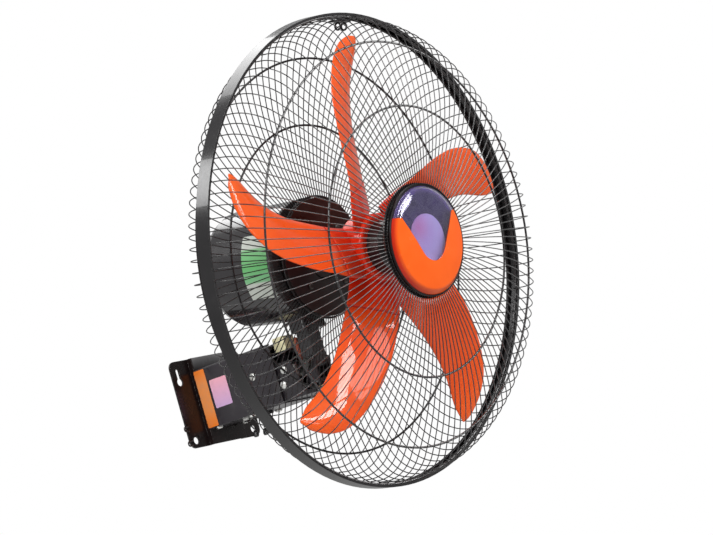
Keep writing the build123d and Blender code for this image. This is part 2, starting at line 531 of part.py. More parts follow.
def top_clip():
    """Clip under the band at the top: a bridge between the two rims and two eyes that hang inward."""
    rim = BAND_R - BAND_T - SEAT - 2 * RIM_R
    body = block(-11, 11, rim - WIRE_R * 2 - 2.4, rim - WIRE_R * 2 - 0.4, -15.5, -2.4)
    for x in (-5.5, 5.5):
        eye = Pos(x, rim - 9.5, -8) * Rot(0, 90, 0) * Torus(4.0, 1.2)
        body += eye
    return clockwise(CLIP_TURN) * body


# ------------------------------------------------------------------ motor
def motor_front_shell():
    zf, zj, t = MOTOR_FRONT_Z, MOTOR_JOINT_Z, SHELL_T
    rf, rj = MOTOR_FRONT_R, MOTOR_JOINT_R
    seat = BEARING_R + 3
    body = turned([(BEARING_R, zf + 10), (24, zf + 10), (24, zf), (rf - 6, zf), (rf, zf - 6), (rj, zj),
                   (rj - t, zj), (rf - t, zf - 7), (rf - 7, zf - t), (seat, zf - t), (seat, zf - 8),
                   (BEARING_R, zf - 8)])
    for pad in around(rod(6, zf - 1, DISC_PLATE_Z, 0, PLATE_SCREW_R), PLATE_SCREWS, 45):
        body += pad
    for hole in around(rod(1.6, zf - 12, zf + 12, 0, PLATE_SCREW_R), PLATE_SCREWS, 45):
        body -= hole
    slot = block(-3, 3, VENT_IN, VENT_IN + VENT_LENGTH, zf - 4, zf + 4)
    for cut in around(slot, 16, 11.25):
        body -= cut
    return body


def motor_rear_shell():
    zj, zr, t = MOTOR_JOINT_Z, MOTOR_REAR_Z, SHELL_T
    rj, rr, c = MOTOR_JOINT_R, MOTOR_REAR_R, 12.0
    seat = BEARING_R + 3
    body = turned([(rj, zj), (rr, zr + c), (rr - 4, zr + 4), (rr - c, zr), (0, zr), (0, zr + t),
                   (BEARING_R, zr + t), (BEARING_R, zr + t + 9), (seat, zr + t + 9), (seat, zr + t),
                   (rr - c - 1, zr + t), (rr - 4 - t, zr + 5.5), (rr - t, zr + c + 1), (rj - t, zj)])
    slot = block(-2, 2, 24, 50, zr - 4, zr + 6)
    for cut in around(slot, 20, 9):
        body -= cut
    for cut in motor_screw_spots(rod(1.7, zr - 2, zr + 8)):
        body -= cut
    for spot in grommet_spots():
        body -= spot * Cylinder(GROMMET_R, 30)
    return body


def motor_screw_spots(shape):
    return around(Pos(0, TAIL_SCREW_R) * shape, TAIL_SCREWS, 30)


def motor_screws():
    return motor_screw_spots(Pos(0, 0, MOTOR_REAR_Z) * Rot(180, 0, 0) * pan_screw(1.5, 6, 3.6, 2.2))


def shell_radius(z):
    share = (z - MOTOR_JOINT_Z) / (MOTOR_FRONT_Z - 6 - MOTOR_JOINT_Z)
    if z < MOTOR_JOINT_Z:
        share = (z - MOTOR_JOINT_Z) / (MOTOR_REAR_Z + 12 - MOTOR_JOINT_Z)
        return MOTOR_JOINT_R + share * (MOTOR_REAR_R - MOTOR_JOINT_R)
    return MOTOR_JOINT_R + share * (MOTOR_FRONT_R - MOTOR_JOINT_R)


def grommet_spots():
    """Places on the underside of the motor's shell, straight above the leads."""
    r = shell_radius(GROMMET_Z)
    lean = degrees(atan2(MOTOR_JOINT_R - MOTOR_REAR_R, MOTOR_JOINT_Z - MOTOR_REAR_Z - 12))
    return [Rot(0, 0, degrees(asin(x / r))) * Location((0, -r, GROMMET_Z), (90 + lean, 0, 0))
            for x, _ in LEAD_SPOTS]


def lead_grommets():
    body = Cylinder(GROMMET_R, SHELL_T + 2) + Pos(0, 0, SHELL_T / 2 + 2) * Cylinder(GROMMET_R + 2.5, 3)
    return [spot * Pos(0, 0, -SHELL_T / 2) * (body - Cylinder(GROMMET_BORE, 20)) for spot in grommet_spots()]


def motor_envelope():
    return turned([(0, MOTOR_FRONT_Z), (MOTOR_FRONT_R - 6, MOTOR_FRONT_Z), (MOTOR_FRONT_R, MOTOR_FRONT_Z - 6),
                   (MOTOR_JOINT_R, MOTOR_JOINT_Z), (MOTOR_REAR_R, MOTOR_REAR_Z + 12), (0, MOTOR_REAR_Z)])


def neck_lug():
    """Block under the motor that nods between the fork's cheeks."""
    y0, y1 = SWING_Y - LUG_HALF_Y, SWING_Y + LUG_HALF_Y
    body = block(-LUG_HALF_X, LUG_HALF_X, y0, y1, TILT_Z, 60)
    body += rod_x(LUG_ROUND, -LUG_HALF_X, LUG_HALF_X, SWING_Y, TILT_Z)
    foot = block(-20, 20, SWING_Y - 16, SWING_Y + 11, 40, 60)
    body += fillet(foot.edges().filter_by(Axis.Z), 5)
    body -= head_at(motor_envelope())
    body = max(body.solids(), key=lambda s: -s.center().Z)
    return body - rod_x(BOLT_R + RUN_FIT, -30, 30, SWING_Y, TILT_Z)


def stator_core():
    body = rod(CORE_R, CORE_BACK, CORE_FRONT) - rod(CORE_BORE, CORE_BACK - 1, CORE_FRONT + 1)
    notch = rod(3.0, CORE_BACK - 1, CORE_FRONT + 1, 0, CORE_BORE + 1.5)
    for cut in around(notch, 24):
        body -= cut
    return body


def stator_windings():
    ring = fillet((rod(COIL_OUT, 0, COIL_T) - rod(COIL_IN, -1, COIL_T + 1)).edges(), 3.5)
    return [Pos(0, 0, CORE_FRONT) * ring, Pos(0, 0, CORE_BACK - COIL_T) * ring]


def stator_stays():
    """Four stays that hold the core in the shell."""
    stay = block(-5, 5, CORE_R, shell_radius(CORE_FRONT - 14) - SHELL_T - STAY_GAP, CORE_FRONT - 14, CORE_FRONT - 2)
    return around(stay, 4, 45)


def bearing(z0):
    return rod(BEARING_R, z0, z0 + BEARING_L) - rod(SHAFT_R + 0.03, z0 - 1, z0 + BEARING_L + 1)


def guard_plate():
    body = rod(DISC_PLATE_R, DISC_PLATE_Z, DISC_PLATE_Z + DISC_PLATE_T)
    body -= rod(NOSE_HOLE_R, DISC_PLATE_Z - 1, DISC_PLATE_Z + 4)
    for hole in around(rod(1.9, DISC_PLATE_Z - 1, DISC_PLATE_Z + 4, 0, PLATE_SCREW_R), PLATE_SCREWS, 45):
        body -= hole
    return body


def guard_screws():
    screw = Pos(0, PLATE_SCREW_R, DISC_PLATE_Z + DISC_PLATE_T) * pan_screw(1.5, 10, 3.6, 2.2)
    return around(screw, PLATE_SCREWS, 45)


def motor_label():
    z0, z1 = LABEL_FRONT, LABEL_REAR
    r0, r1 = shell_radius(z0) + SEAT, shell_radius(z1) + SEAT
    face = make_face(Polyline((r0, 0, z0), (r0 + LABEL_T, 0, z0), (r1 + LABEL_T, 0, z1), (r1, 0, z1), close=True))
    return Rot(0, 0, LABEL_FROM) * revolve(face, Axis.Z, LABEL_ARC)


# ------------------------------------------------------------------ rotor and blade
def motor_shaft():
    body = rod(SHAFT_R, MOTOR_REAR_Z + 5, SHAFT_FRONT)
    return body - rod_x(2.0, -8, 8, 0, PIN_Z)


def rotor_core():
    return rod(CORE_BORE - AIR_GAP, CORE_BACK, CORE_FRONT) - rod(SHAFT_R, CORE_BACK - 1, CORE_FRONT + 1)


def blade_section(station, thick):
    """Cambered section across a blade, square to the line from the hub to the blade's middle."""
    share, turn, width, height, slope = station
    r, tilt = share * SWEEP_R, degrees(atan(slope))
    w, camber, t = width / cos(radians(tilt)) / 2, BLADE_CAMBER * width, thick / 2
    low = ThreePointArc((-w, -t), (0, camber - t), (w, -t))
    high = ThreePointArc((w, t), (0, camber + t), (-w, t))
    face = make_face(low + Line((w, -t), (w, t)) + high + Line((-w, t), (-w, -t)))
    return clockwise(turn) * Pos(0, r, height) * Rot(0, -tilt, 0) * Rot(90, 0, 0) * face


def blade():
    """One blade: the thin sweep out to the tip and the thicker root that ends in a step."""
    skin = loft([blade_section(s, BLADE_T) for s in BLADE_STATIONS])
    return skin + loft([blade_section(s, ROOT_T) for s in (*BLADE_STATIONS[:2], ROOT_END)])


def fan_blade():
    c = HUB_WALL
    body = turned([(SHAFT_R, HUB_BACK), (HUB_R, HUB_BACK), (HUB_R, HUB_FRONT - c), (HUB_R - c, HUB_FRONT),
                   (SHAFT_R, HUB_FRONT)])
    one = blade()
    for k in range(BLADES):
        body += clockwise(FAN_TURN + 360.0 * k / BLADES) * one
    body -= rod(HUB_R - c, HUB_BACK - 30, HUB_FRONT - c)
    body += rod(BOSS_R, BOSS_BACK, HUB_FRONT - c + 0.1)
    for rib in around(block(-c / 2, c / 2, BOSS_R - 1, HUB_R - c + 0.1, HUB_BACK, HUB_FRONT - c + 0.1), BLADES):
        body += rib
    body -= rod(SHAFT_R + 0.02, BOSS_BACK - 2, HUB_FRONT + 30)
    return body - block(-BOSS_R - 1, BOSS_R + 1, -2.3, 2.3, BOSS_BACK - 1, PIN_Z + 2.2)


def shaft_pin():
    return rod_x(2.0, -PIN_REACH, PIN_REACH, 0, PIN_Z)


def spinner():
    """Black cap nut in front of the hub: a thin cup, grooved round its side, on the shaft's end."""
    r, z0, z1, t = SPINNER_R, HUB_FRONT, SPINNER_FRONT, SPINNER_WALL
    body = turned([(r, z0), (r - 1, z1 - 6), (r - 5, z1 - 2), (r - 9, z1), (0, z1), (0, z1 - t),
                   (r - 10, z1 - t), (r - t - 3, z1 - t - 4), (r - t, z0)])
    body += rod(9.0, z0, z1 - t + 0.1)
    body -= rod(SHAFT_R, z0 - 1, SHAFT_FRONT)
    for cut in around(Pos(0, r + 0.6) * rod(1.8, z0 - 1, z1 + 1), GROOVE_COUNT):
        body -= cut
    return body


# ------------------------------------------------------------------ badge
def opening_face():
    """Shield shape: round below, with straight sides that lean out and a step out to the edge above."""
    a = radians(OPENING_SPREAD)
    x, y = OPENING_R * cos(a), OPENING_LOW + OPENING_R * (1 - sin(a))
    w, top = x + (OPENING_TOP - y) * tan(a), OPENING_TOP
    wide, high, far = w + SHOULDER_OUT, top + SHOULDER_UP, BADGE_R + SHOULDER_OUT
    curve = ThreePointArc((-x, y), (0, OPENING_LOW), (x, y))
    return make_face(curve + Polyline((x, y), (w, top), (wide, high), (wide, far), (-wide, far), (-wide, high),
                                      (-w, top), (-x, y)))


def cap(edge_r, z0, z1, ease):
    """Solid with a steep wall from z0 to z1, a rounded shoulder and a shallow domed front."""
    r = edge_r - CAP_DRAFT * (z1 - z0)
    big = (r ** 2 + CAP_RISE ** 2) / (2 * CAP_RISE)
    top, half_turn = z1 + CAP_RISE, asin(r / big) / 2
    dome = ThreePointArc((r, 0, z1), (big * sin(half_turn), 0, top - big * (1 - cos(half_turn))), (0, 0, top))
    body = revolve(make_face(dome + Polyline((0, 0, top), (0, 0, z0), (edge_r, 0, z0), (r, 0, z1))), Axis.Z)
    shoulder = body.edges().filter_by(GeomType.CIRCLE).sort_by(lambda e: abs(e.center().Z - z1) + abs(e.radius - r))[0]
    return fillet(shoulder, ease)


def cap_shell(edge_r, z0, z1, thickness):
    return cap(edge_r, z0, z1, CAP_EASE) - cap(edge_r - thickness, z0, z1 - thickness, CAP_EASE - thickness)


def badge_spots(shape):
    return around(Pos(0, BADGE_SCREW_R) * shape, BADGE_SCREWS)


def badge_back():
    """Plate behind the wires' inner ends, drawn up against them by the screws."""
    z = BADGE_BACK_Z
    body = rod(FRONT_POINTS[2][0] + 5, z, z + BADGE_PLATE_T) - rod(14, z - 1, z + 4)
    for hole in badge_spots(rod(1.6, z - 1, z + 4)):
        body -= hole
    return body


def badge_base():
    """Black dish in front of the wires: floor, rim and three bosses that reach back to the plate."""
    r, z, floor = BADGE_R + BASE_OUT, BASE_LOW, BASE_LOW + BASE_FLOOR
    body = turned([(0, z), (r, z), (r, z + BASE_RIM), (r - 2, z + BASE_RIM), (r - 2, floor), (0, floor)])
    for boss in badge_spots(rod(4.5, BADGE_BACK_Z + BADGE_PLATE_T, z + 0.1)):
        body += boss
    for hole in badge_spots(rod(1.2, BADGE_BACK_Z - 1, z + 1.0)):
        body -= hole
    return body


def badge_screws():
    return badge_spots(Pos(0, 0, BADGE_BACK_Z) * Rot(180, 0, 0) * pan_screw(1.2, 7, 3.2, 2.0))


def badge_plate():
    z = BASE_LOW + BASE_FLOOR
    return rod(PICTURE_R, z, z + PICTURE_T)


def badge_lens():
    gap, z = COVER_T + LENS_GAP, BASE_LOW + BASE_FLOOR
    return cap_shell(BADGE_R - gap, z, z + CAP_WALL - gap, LENS_T)


def badge_cover():
    """Cap over the lower part of the lens, open above like a shield."""
    z = BASE_LOW + BASE_FLOOR
    return cap_shell(BADGE_R, z, z + CAP_WALL, COVER_T) - extrude(Pos(0, 0, z - 1) * opening_face(), amount=20)


# ------------------------------------------------------------------ write the nodes
def cord_report(name, route, radius, volume):
    section = pi * radius ** 2
    print(f"cord {name}: length {route.length:.1f} radius {radius} volume ratio {volume / section / route.length:.3f}")


def write_wall_side():
    save("wall_plate", wall_plate())
    save("arm_box", arm_box())
    save("bottom_cover", bottom_cover())
    save("label_strip", label(STRIP_W, STRIP_H, STRIP_Y, STRIP_Z))
    save("label_panel", label(PANEL_W, PANEL_H, PANEL_Y, PANEL_Z))
    save("wire_eyes", *wire_eyes())
    save("cable_gland", cable_gland())
    for name, side in (("speed", -1), ("swing", 1)):
        save(f"{name}_switch", pull_switch(side))
        cord, route = pull_cord(side)
        cord_report(f"{name}_cord", route, CORD_R, cord.volume - pi * STOP_R ** 2 * STOP_H)
        save(f"{name}_cord", cord)
        save(f"{name}_knob", pull_knob(side))
    save("switch_nuts", *switch_nuts())


def write_swing():
    save("swing_cradle", swing_cradle())
    save("motor_bridge", motor_bridge())
    save("bridge_screws", *side_screws(BRIDGE_SCREWS, CRADLE_W / 2, 4.0))
    save("box_screws", *box_screws())
    save("swing_motor", swing_motor())
    save("swing_motor_screws", *[Pos(s * GEAR_SCREW_X, CRANK_Y, BRIDGE_Z + BRIDGE_T) * pan_screw(1.2, 6, 3.0, 1.8)
                                 for s in (-1, 1)])
    save("swing_crank", swing_crank())
    save("swing_link", swing_link())
    save("link_clip", link_clip())
    save("neck_bush", neck_bush())
    save("swing_fork", swing_fork())
    save("neck_nut", neck_nut())
    save("tilt_bolt", tilt_bolt())
    save("tilt_washers", *tilt_washers())
    save("tilt_nut", tilt_nut())
    save("terminal_block", terminal_block())
    leads, routes = motor_leads()
    for lead, (route, r) in zip(leads, routes):
        cord_report("motor_lead", route, r, lead.volume)
    save("motor_leads", *leads)


def write_head():
    at = lambda name, *shapes: save(name, *[head_at(s) for s in shapes])
    save("neck_lug", neck_lug())
    at("motor_front_shell", motor_front_shell())
    at("motor_rear_shell", motor_rear_shell())
    at("motor_screws", *motor_screws())
    at("stator_core", stator_core())
    at("stator_windings", *stator_windings())
    at("stator_stays", *stator_stays())
    at("front_bearing", bearing(MOTOR_FRONT_Z - 1))
    at("rear_bearing", bearing(MOTOR_REAR_Z + SHELL_T))
    at("lead_grommets", *lead_grommets())
    at("motor_label", motor_label())
    at("guard_plate", guard_plate())
    at("guard_screws", *guard_screws())
    front_rim = -LIP_T - SEAT - RIM_R
    rear_rim = -BAND_DEPTH + LIP_T + SEAT + RIM_R
    at("front_grille", *guard(1, FRONT_POINTS, FRONT_SHOULDER, front_rim - 1.5, front_rim))
    at("rear_grille", *guard(-1, REAR_POINTS, REAR_SHOULDER, rear_rim + 1.5, rear_rim))
    at("rim_band", rim_band())
    at("top_clip", top_clip())
    at("badge_back", badge_back())
    at("badge_screws", *badge_screws())
    at("badge_base", badge_base())
    at("badge_plate", badge_plate())
    at("badge_lens", badge_lens())
    at("badge_cover", badge_cover())
    at("motor_shaft", motor_shaft())
    at("rotor_core", rotor_core())
    at("fan_blade", fan_blade())
    at("shaft_pin", shaft_pin())
    at("spinner", spinner())


write_wall_side()
write_swing()
write_head()
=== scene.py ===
import math
import bmesh
import bpy
from mathutils import Matrix, Vector


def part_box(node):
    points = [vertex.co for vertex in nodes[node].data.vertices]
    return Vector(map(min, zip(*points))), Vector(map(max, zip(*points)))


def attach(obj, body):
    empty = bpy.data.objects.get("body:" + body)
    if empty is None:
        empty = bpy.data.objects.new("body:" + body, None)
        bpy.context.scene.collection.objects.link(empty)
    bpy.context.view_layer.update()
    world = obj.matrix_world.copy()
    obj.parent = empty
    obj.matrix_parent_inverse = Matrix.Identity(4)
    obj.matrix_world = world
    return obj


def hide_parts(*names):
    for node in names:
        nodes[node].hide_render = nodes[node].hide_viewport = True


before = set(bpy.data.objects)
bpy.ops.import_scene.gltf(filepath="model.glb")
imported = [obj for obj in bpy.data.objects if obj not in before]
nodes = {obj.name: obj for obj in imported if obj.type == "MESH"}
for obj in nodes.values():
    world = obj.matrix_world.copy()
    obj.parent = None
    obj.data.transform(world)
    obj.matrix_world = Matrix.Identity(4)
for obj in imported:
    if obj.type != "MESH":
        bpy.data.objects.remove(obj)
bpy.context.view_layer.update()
scene = bpy.context.scene
MM = 0.001                                    # sizes are in millimetres, Blender's own places in metres

# ---------------------------------------------------------------- camera, fitted to the photograph
CAMERA_AT = Vector((-3.58874, -3.23985, -0.35110))
# its axes to the right, up and backwards
CAMERA_AXES = ((0.632817, -0.724279, -0.273793), (0.105482, -0.269665, 0.957159),
               (-0.767083, -0.634587, -0.094251))
FOCAL_PIXELS, PICTURE_W = 4017.1, 713
SENSOR_W, CLIP_END = 36.0, 50.0


def add_camera():
    data = bpy.data.cameras.new("camera")
    cam = bpy.data.objects.new("camera", data)
    scene.collection.objects.link(cam)
    turn = Matrix(CAMERA_AXES).transposed().to_4x4()
    cam.matrix_world = Matrix.Translation(CAMERA_AT) @ turn.to_quaternion().to_matrix().to_4x4()
    data.sensor_fit = "HORIZONTAL"
    data.sensor_width = SENSOR_W
    data.lens = SENSOR_W * FOCAL_PIXELS / PICTURE_W
    data.clip_end = CLIP_END
    scene.camera = cam


add_camera()
scene.view_settings.view_transform = "Standard"


# ---------------------------------------------------------------- cords' routes, as in the part's source
SWITCH_X, SWITCH_Y = 13.0, -54.0
CORD_TOP, CORD_BEND, CORD_END = -27.5, -42.0, -51.0  # under its stop, below the switch's nose, at the knob
CORD_STRAIGHT, CORD_LEAN = 12.0, 4.0
LEADS = ((-2.0, 2.5), (19.0, 3.2))            # x and radius of each sheathed lead
LEAD_Y, LEAD_LOW, LEAD_HIGH = -152.5, 8.3, 37.0
LEAD_BOW_X, LEAD_BOW_Y, LEAD_TIP_X = -0.5, -0.7, 0.3  # how far its middle and its top stand off the upright
CORD_STEPS, LEAD_STEPS = 14, 40


def spline_points(name, route, steps):
    """Points of a smooth spline through the air, with the route's points as its control points."""
    data = bpy.data.curves.new(name, "CURVE")
    data.dimensions = "3D"
    data.resolution_u = steps
    spline = data.splines.new("NURBS")
    spline.points.add(len(route) - 1)
    for point, at in zip(spline.points, route):
        point.co = (*(v * MM for v in at), 1.0)
    spline.order_u = 3
    spline.use_endpoint_u = True
    holder = bpy.data.objects.new(name, data)
    line = bpy.data.meshes.new_from_object(holder)
    points = [v.co / MM for v in line.vertices]
    bpy.data.meshes.remove(line)
    bpy.data.objects.remove(holder)
    bpy.data.curves.remove(data)
    return points


def cord_route(name):
    """Down through the switch's nose, then inwards and forwards to the knob."""
    side = 1 if sum(corner[0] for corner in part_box(f"{name}_cord")) > 0 else -1
    x = side * SWITCH_X
    return ((x, SWITCH_Y, CORD_TOP), (x, SWITCH_Y, CORD_BEND + CORD_STRAIGHT), (x, SWITCH_Y, CORD_BEND),
            (x - side * CORD_LEAN, SWITCH_Y - CORD_LEAN, CORD_END))


def lead_route(x):
    """Nearly upright, and a little bowed."""
    middle = (x + LEAD_BOW_X, LEAD_Y + LEAD_BOW_Y, (LEAD_LOW + LEAD_HIGH) / 2)
    return ((x, LEAD_Y, LEAD_LOW), middle, (x + LEAD_TIP_X, LEAD_Y, LEAD_HIGH))


CORD_LINES = {name: spline_points(name, cord_route(name), CORD_STEPS) for name in ("speed", "swing")}
LEAD_LINES = [(spline_points("lead", lead_route(x), LEAD_STEPS), r) for x, r in LEADS]

# ---------------------------------------------------------------- head's own frame: its +Z points forward
HEAD_Y, HEAD_Z, HEAD_NOD = -299.0, 104.5, 8.7
HEAD_AT = (0.0, HEAD_Y * MM, HEAD_Z * MM)
HEAD_TURN = (math.radians(90.0 + HEAD_NOD), 0.0, 0.0)
HEAD = Matrix.Translation(HEAD_AT) @ Matrix.Rotation(HEAD_TURN[0], 4, "X")

# ---------------------------------------------------------------- material helper
# noises: cells per metre, and detail
CLOUD, DIRT, CHIPS, GRAIN = (18.0, 4.0), (60.0, 5.0), (320.0, 3.0), (900.0, 2.0)
# the stretch of a noise that makes the full change of tone, of gloss, of dust and of chipped edges
TONE_RANGE, GLOSS_RANGE, DUST_RANGE, CHIP_RANGE = (0.35, 0.7), (0.3, 0.75), (0.52, 0.8), (0.45, 0.62)
WORN, DUST = (0.45, 0.44, 0.43), (0.12, 0.115, 0.11)
# a softened edge's radius, the turn of its normal between sound and fully worn, and how metallic it is there
EDGE_R, EDGE_RANGE, BARE_METAL = 0.8, (0.02, 0.25), 0.8
RELIEF, BEVEL_SAMPLES = 0.2, 4                # depth of a bump
# shares of a paint's colour, and of its roughness, between which it wanders; and how much dust dulls it
PAINT_TONES, PAINT_GLOSS, DUST_DULLS = (0.82, 1.2), (0.8, 1.35), 0.5
METAL_STAIN, METAL_BRIGHT, METAL_GLOSS, METAL_RANGE = 0.55, 1.15, (0.75, 1.3), (0.3, 0.7)
PLASTIC_CLOUD, PLASTIC_GLOSS = (30.0, 4.0), (0.85, 1.3)


def shaded(colour, factor):
    return tuple(min(c * factor, 1) for c in colour)


class Mat:
    """A principled material with short calls for the nodes that feed it."""

    def __init__(self, name, **sockets):
        self.material = bpy.data.materials.new(name)
        self.material.use_nodes = True
        tree = self.material.node_tree
        self.nodes, self.links = tree.nodes, tree.links
        self.shader = next(n for n in self.nodes if n.type == "BSDF_PRINCIPLED")
        self.output = next(n for n in self.nodes if n.type == "OUTPUT_MATERIAL")
        for key, value in sockets.items():
            self.shader.inputs[key.replace("_", " ")].default_value = value

    def node(self, kind, props=None, **inputs):
        """New node; its inputs are named, or numbered as i0, i1 and so on."""
        n = self.nodes.new(kind)
        for key, value in (props or {}).items():
            setattr(n, key, value)
        for key, value in inputs.items():
            numbered = key[0] == "i" and key[1:].isdigit()
            self.feed(value, n.inputs[int(key[1:]) if numbered else key.replace("_", " ")])
        return n

    def feed(self, value, socket):
        if hasattr(value, "is_output"):
            self.links.new(value, socket)
        elif hasattr(value, "outputs"):
            self.links.new(value.outputs[0], socket)
        else:
            socket.default_value = value

    def set(self, name, value):
        self.feed(value, self.shader.inputs[name])

    def place(self, head=False):
        """The piece's place at rest, in the part's frame or in the head's."""
        coord = self.node("ShaderNodeTexCoord").outputs["Object"]
        if not head:
            return coord
        return self.node("ShaderNodeMapping", {"vector_type": "TEXTURE"}, Vector=coord,
                         Location=HEAD_AT, Rotation=HEAD_TURN)

    def axis(self, at, number):
        return self.node("ShaderNodeSeparateXYZ", Vector=at).outputs[number]

    def radius(self, at):
        """Distance from the local Z axis."""
        flat = self.node("ShaderNodeVectorMath", {"operation": "MULTIPLY"}, i0=at, i1=(1, 1, 0)).outputs[0]
        return self.node("ShaderNodeVectorMath", {"operation": "LENGTH"}, i0=flat).outputs["Value"]

    def noise(self, scale, detail):
        n = self.node("ShaderNodeTexNoise", Vector=self.place(), Scale=scale, Detail=detail, Roughness=0.55)
        return n.outputs[0]

    def ramp(self, factor, stops):
        n = self.node("ShaderNodeValToRGB", Fac=factor)
        for i, (at, colour) in enumerate(stops):
            e = n.color_ramp.elements[i] if i < 2 else n.color_ramp.elements.new(at)
            e.position = at
            e.color = (*colour, 1.0)
        return n.outputs[0]

    def math(self, op, a, b=0.0):
        return self.node("ShaderNodeMath", {"operation": op}, i0=a, i1=b).outputs[0]

    def span(self, value, lo, hi, to_lo=0.0, to_hi=1.0):
        return self.node("ShaderNodeMapRange", {"clamp": True}, Value=value, From_Min=lo, From_Max=hi,
                         To_Min=to_lo, To_Max=to_hi).outputs[0]

    def mix(self, factor, a, b):
        n = self.node("ShaderNodeMix", {"data_type": "RGBA"}, i0=factor)
        for value, socket in ((a, n.inputs[6]), (b, n.inputs[7])):
            self.feed((*value, 1.0) if isinstance(value, tuple) and len(value) == 3 else value, socket)
        return n.outputs[2]

    def mottled(self, noise, a, b):
        """A tone that wanders between two colours."""
        return self.mix(self.span(self.noise(*noise), *TONE_RANGE), a, b)

    def uneven(self, noise, low, high):
        """Roughness that wanders between two values."""
        self.set("Roughness", self.span(self.noise(*noise), *GLOSS_RANGE, low, high))

    def bump(self, height, strength, base=None):
        n = self.node("ShaderNodeBump", Height=height, Strength=strength, Distance=RELIEF * MM)
        if base is not None:
            self.links.new(base, n.inputs["Normal"])
        return n.outputs[0]

    def rounded(self, radius):
        """Normal that softens edges over a radius in millimetres."""
        return self.node("ShaderNodeBevel", {"samples": BEVEL_SAMPLES}, Radius=radius * MM).outputs[0]

    def worn_edges(self, wear):
        """Where the sharp edges have lost their paint, up to a share of wear, and the softened normal."""
        bevel = self.rounded(EDGE_R)
        geo = self.node("ShaderNodeNewGeometry").outputs["Normal"]
        dot = self.node("ShaderNodeVectorMath", {"operation": "DOT_PRODUCT"}, i0=bevel, i1=geo)
        edge = self.span(self.math("SUBTRACT", 1.0, dot.outputs["Value"]), *EDGE_RANGE)
        return self.math("MULTIPLY", edge, self.span(self.noise(*CHIPS), *CHIP_RANGE, 0.0, wear)), bevel


def paint(name, colour, rough, peel, wear, dust=0.25, coat=0.3, gloss=0.12, spec=0.5):
    """Sprayed paint: slight orange peel, uneven gloss, dust in patches and thin worn edges."""
    m = Mat(name, Coat_Weight=coat, Coat_Roughness=gloss, Specular_IOR_Level=spec)
    shade = m.mottled(CLOUD, *(shaded(colour, share) for share in PAINT_TONES))
    grime = m.span(m.noise(*DIRT), *DUST_RANGE, 0.0, dust)
    edge, bevel = m.worn_edges(wear)
    m.set("Base Color", m.mix(edge, m.mix(grime, shade, DUST), WORN))
    cloud = m.span(m.noise(*CLOUD), *GLOSS_RANGE, *(rough * share for share in PAINT_GLOSS))
    m.set("Roughness", m.math("ADD", cloud, m.math("MULTIPLY", grime, DUST_DULLS)))
    m.set("Metallic", m.math("MULTIPLY", edge, BARE_METAL))
    m.set("Normal", m.bump(m.noise(*GRAIN), peel, bevel))
    return m.material


def metal(name, colour, rough):
    """Bare or plated metal, finely mottled and faintly stained."""
    m = Mat(name, Metallic=1.0)
    fine = m.noise(500.0, 3.0)
    stain = m.span(m.noise(45.0, 4.0), 0.4, 0.75, 0.0, 0.3)
    shade = m.mix(stain, colour, shaded(colour, METAL_STAIN))
    bright = m.span(fine, *METAL_RANGE, 0.0, 0.25)
    m.set("Base Color", m.mix(bright, shade, shaded(colour, METAL_BRIGHT)))
    m.set("Roughness", m.span(fine, *METAL_RANGE, *(rough * share for share in METAL_GLOSS)))
    m.set("Normal", m.bump(fine, 0.12, m.rounded(0.4)))
    return m.material


def plastic(name, colour, rough, grain, grain_scale=1400.0, spread=0.12, coat=0.0):
    """Moulded plastic, rubber or braid: its grain, and a tone that wanders a little."""
    m = Mat(name, Coat_Weight=coat, Coat_Roughness=0.08)
    m.set("Base Color", m.mottled(PLASTIC_CLOUD, shaded(colour, 1 - spread), shaded(colour, 1 + spread)))
    m.uneven(PLASTIC_CLOUD, *(rough * share for share in PLASTIC_GLOSS))
    m.set("Normal", m.bump(m.noise(grain_scale, 2.0), grain, m.rounded(0.5)))
    return m.material


def finish(names, material):
    for name in names.split():
        node = nodes[name]
        if node.material_slots:
            for slot in node.material_slots:
                slot.material = material
        else:
            node.data.materials.append(material)


# ---------------------------------------------------------------- materials of the CAD nodes
# paints: colour, roughness, orange peel and wear
bracket = paint("bracket_paint", (0.025, 0.021, 0.026), 0.30, 0.2, 0.6)
plate_paint = paint("plate_paint", (0.010, 0.0055, 0.0055), 0.26, 0.2, 0.5, dust=0.10, coat=0.2, gloss=0.06)
motor = paint("motor_paint", (0.012, 0.010, 0.012), 0.24, 0.20, 0.3, dust=0.10, coat=1.0, gloss=0.05)
dark_front = paint("front_paint", (0.008, 0.004, 0.004), 0.30, 0.2, 0.3, dust=0.08, coat=0.1, spec=0.35)
guard = paint("guard_paint", (0.010, 0.008, 0.009), 0.26, 0.08, 0.2, dust=0.04, coat=0.05, gloss=0.05,
              spec=0.3)
front_guard = paint("front_guard_paint", (0.012, 0.010, 0.011), 0.22, 0.08, 0.2, dust=0.04, coat=0.6,
                    gloss=0.08)
band = paint("band_paint", (0.010, 0.009, 0.010), 0.20, 0.04, 0.2, dust=0.05, coat=0.4, gloss=0.03)
# metals: colour and roughness
zinc = metal("zinc", (0.74, 0.74, 0.71), 0.30)
bright_zinc = metal("bright_zinc", (0.93, 0.94, 0.91), 0.52)
black_zinc = metal("black_zinc", (0.10, 0.10, 0.095), 0.40)
bronze = metal("bronze", (0.55, 0.38, 0.19), 0.40)
copper = metal("copper", (0.72, 0.33, 0.16), 0.38)
steel = metal("core_steel", (0.38, 0.38, 0.40), 0.45)
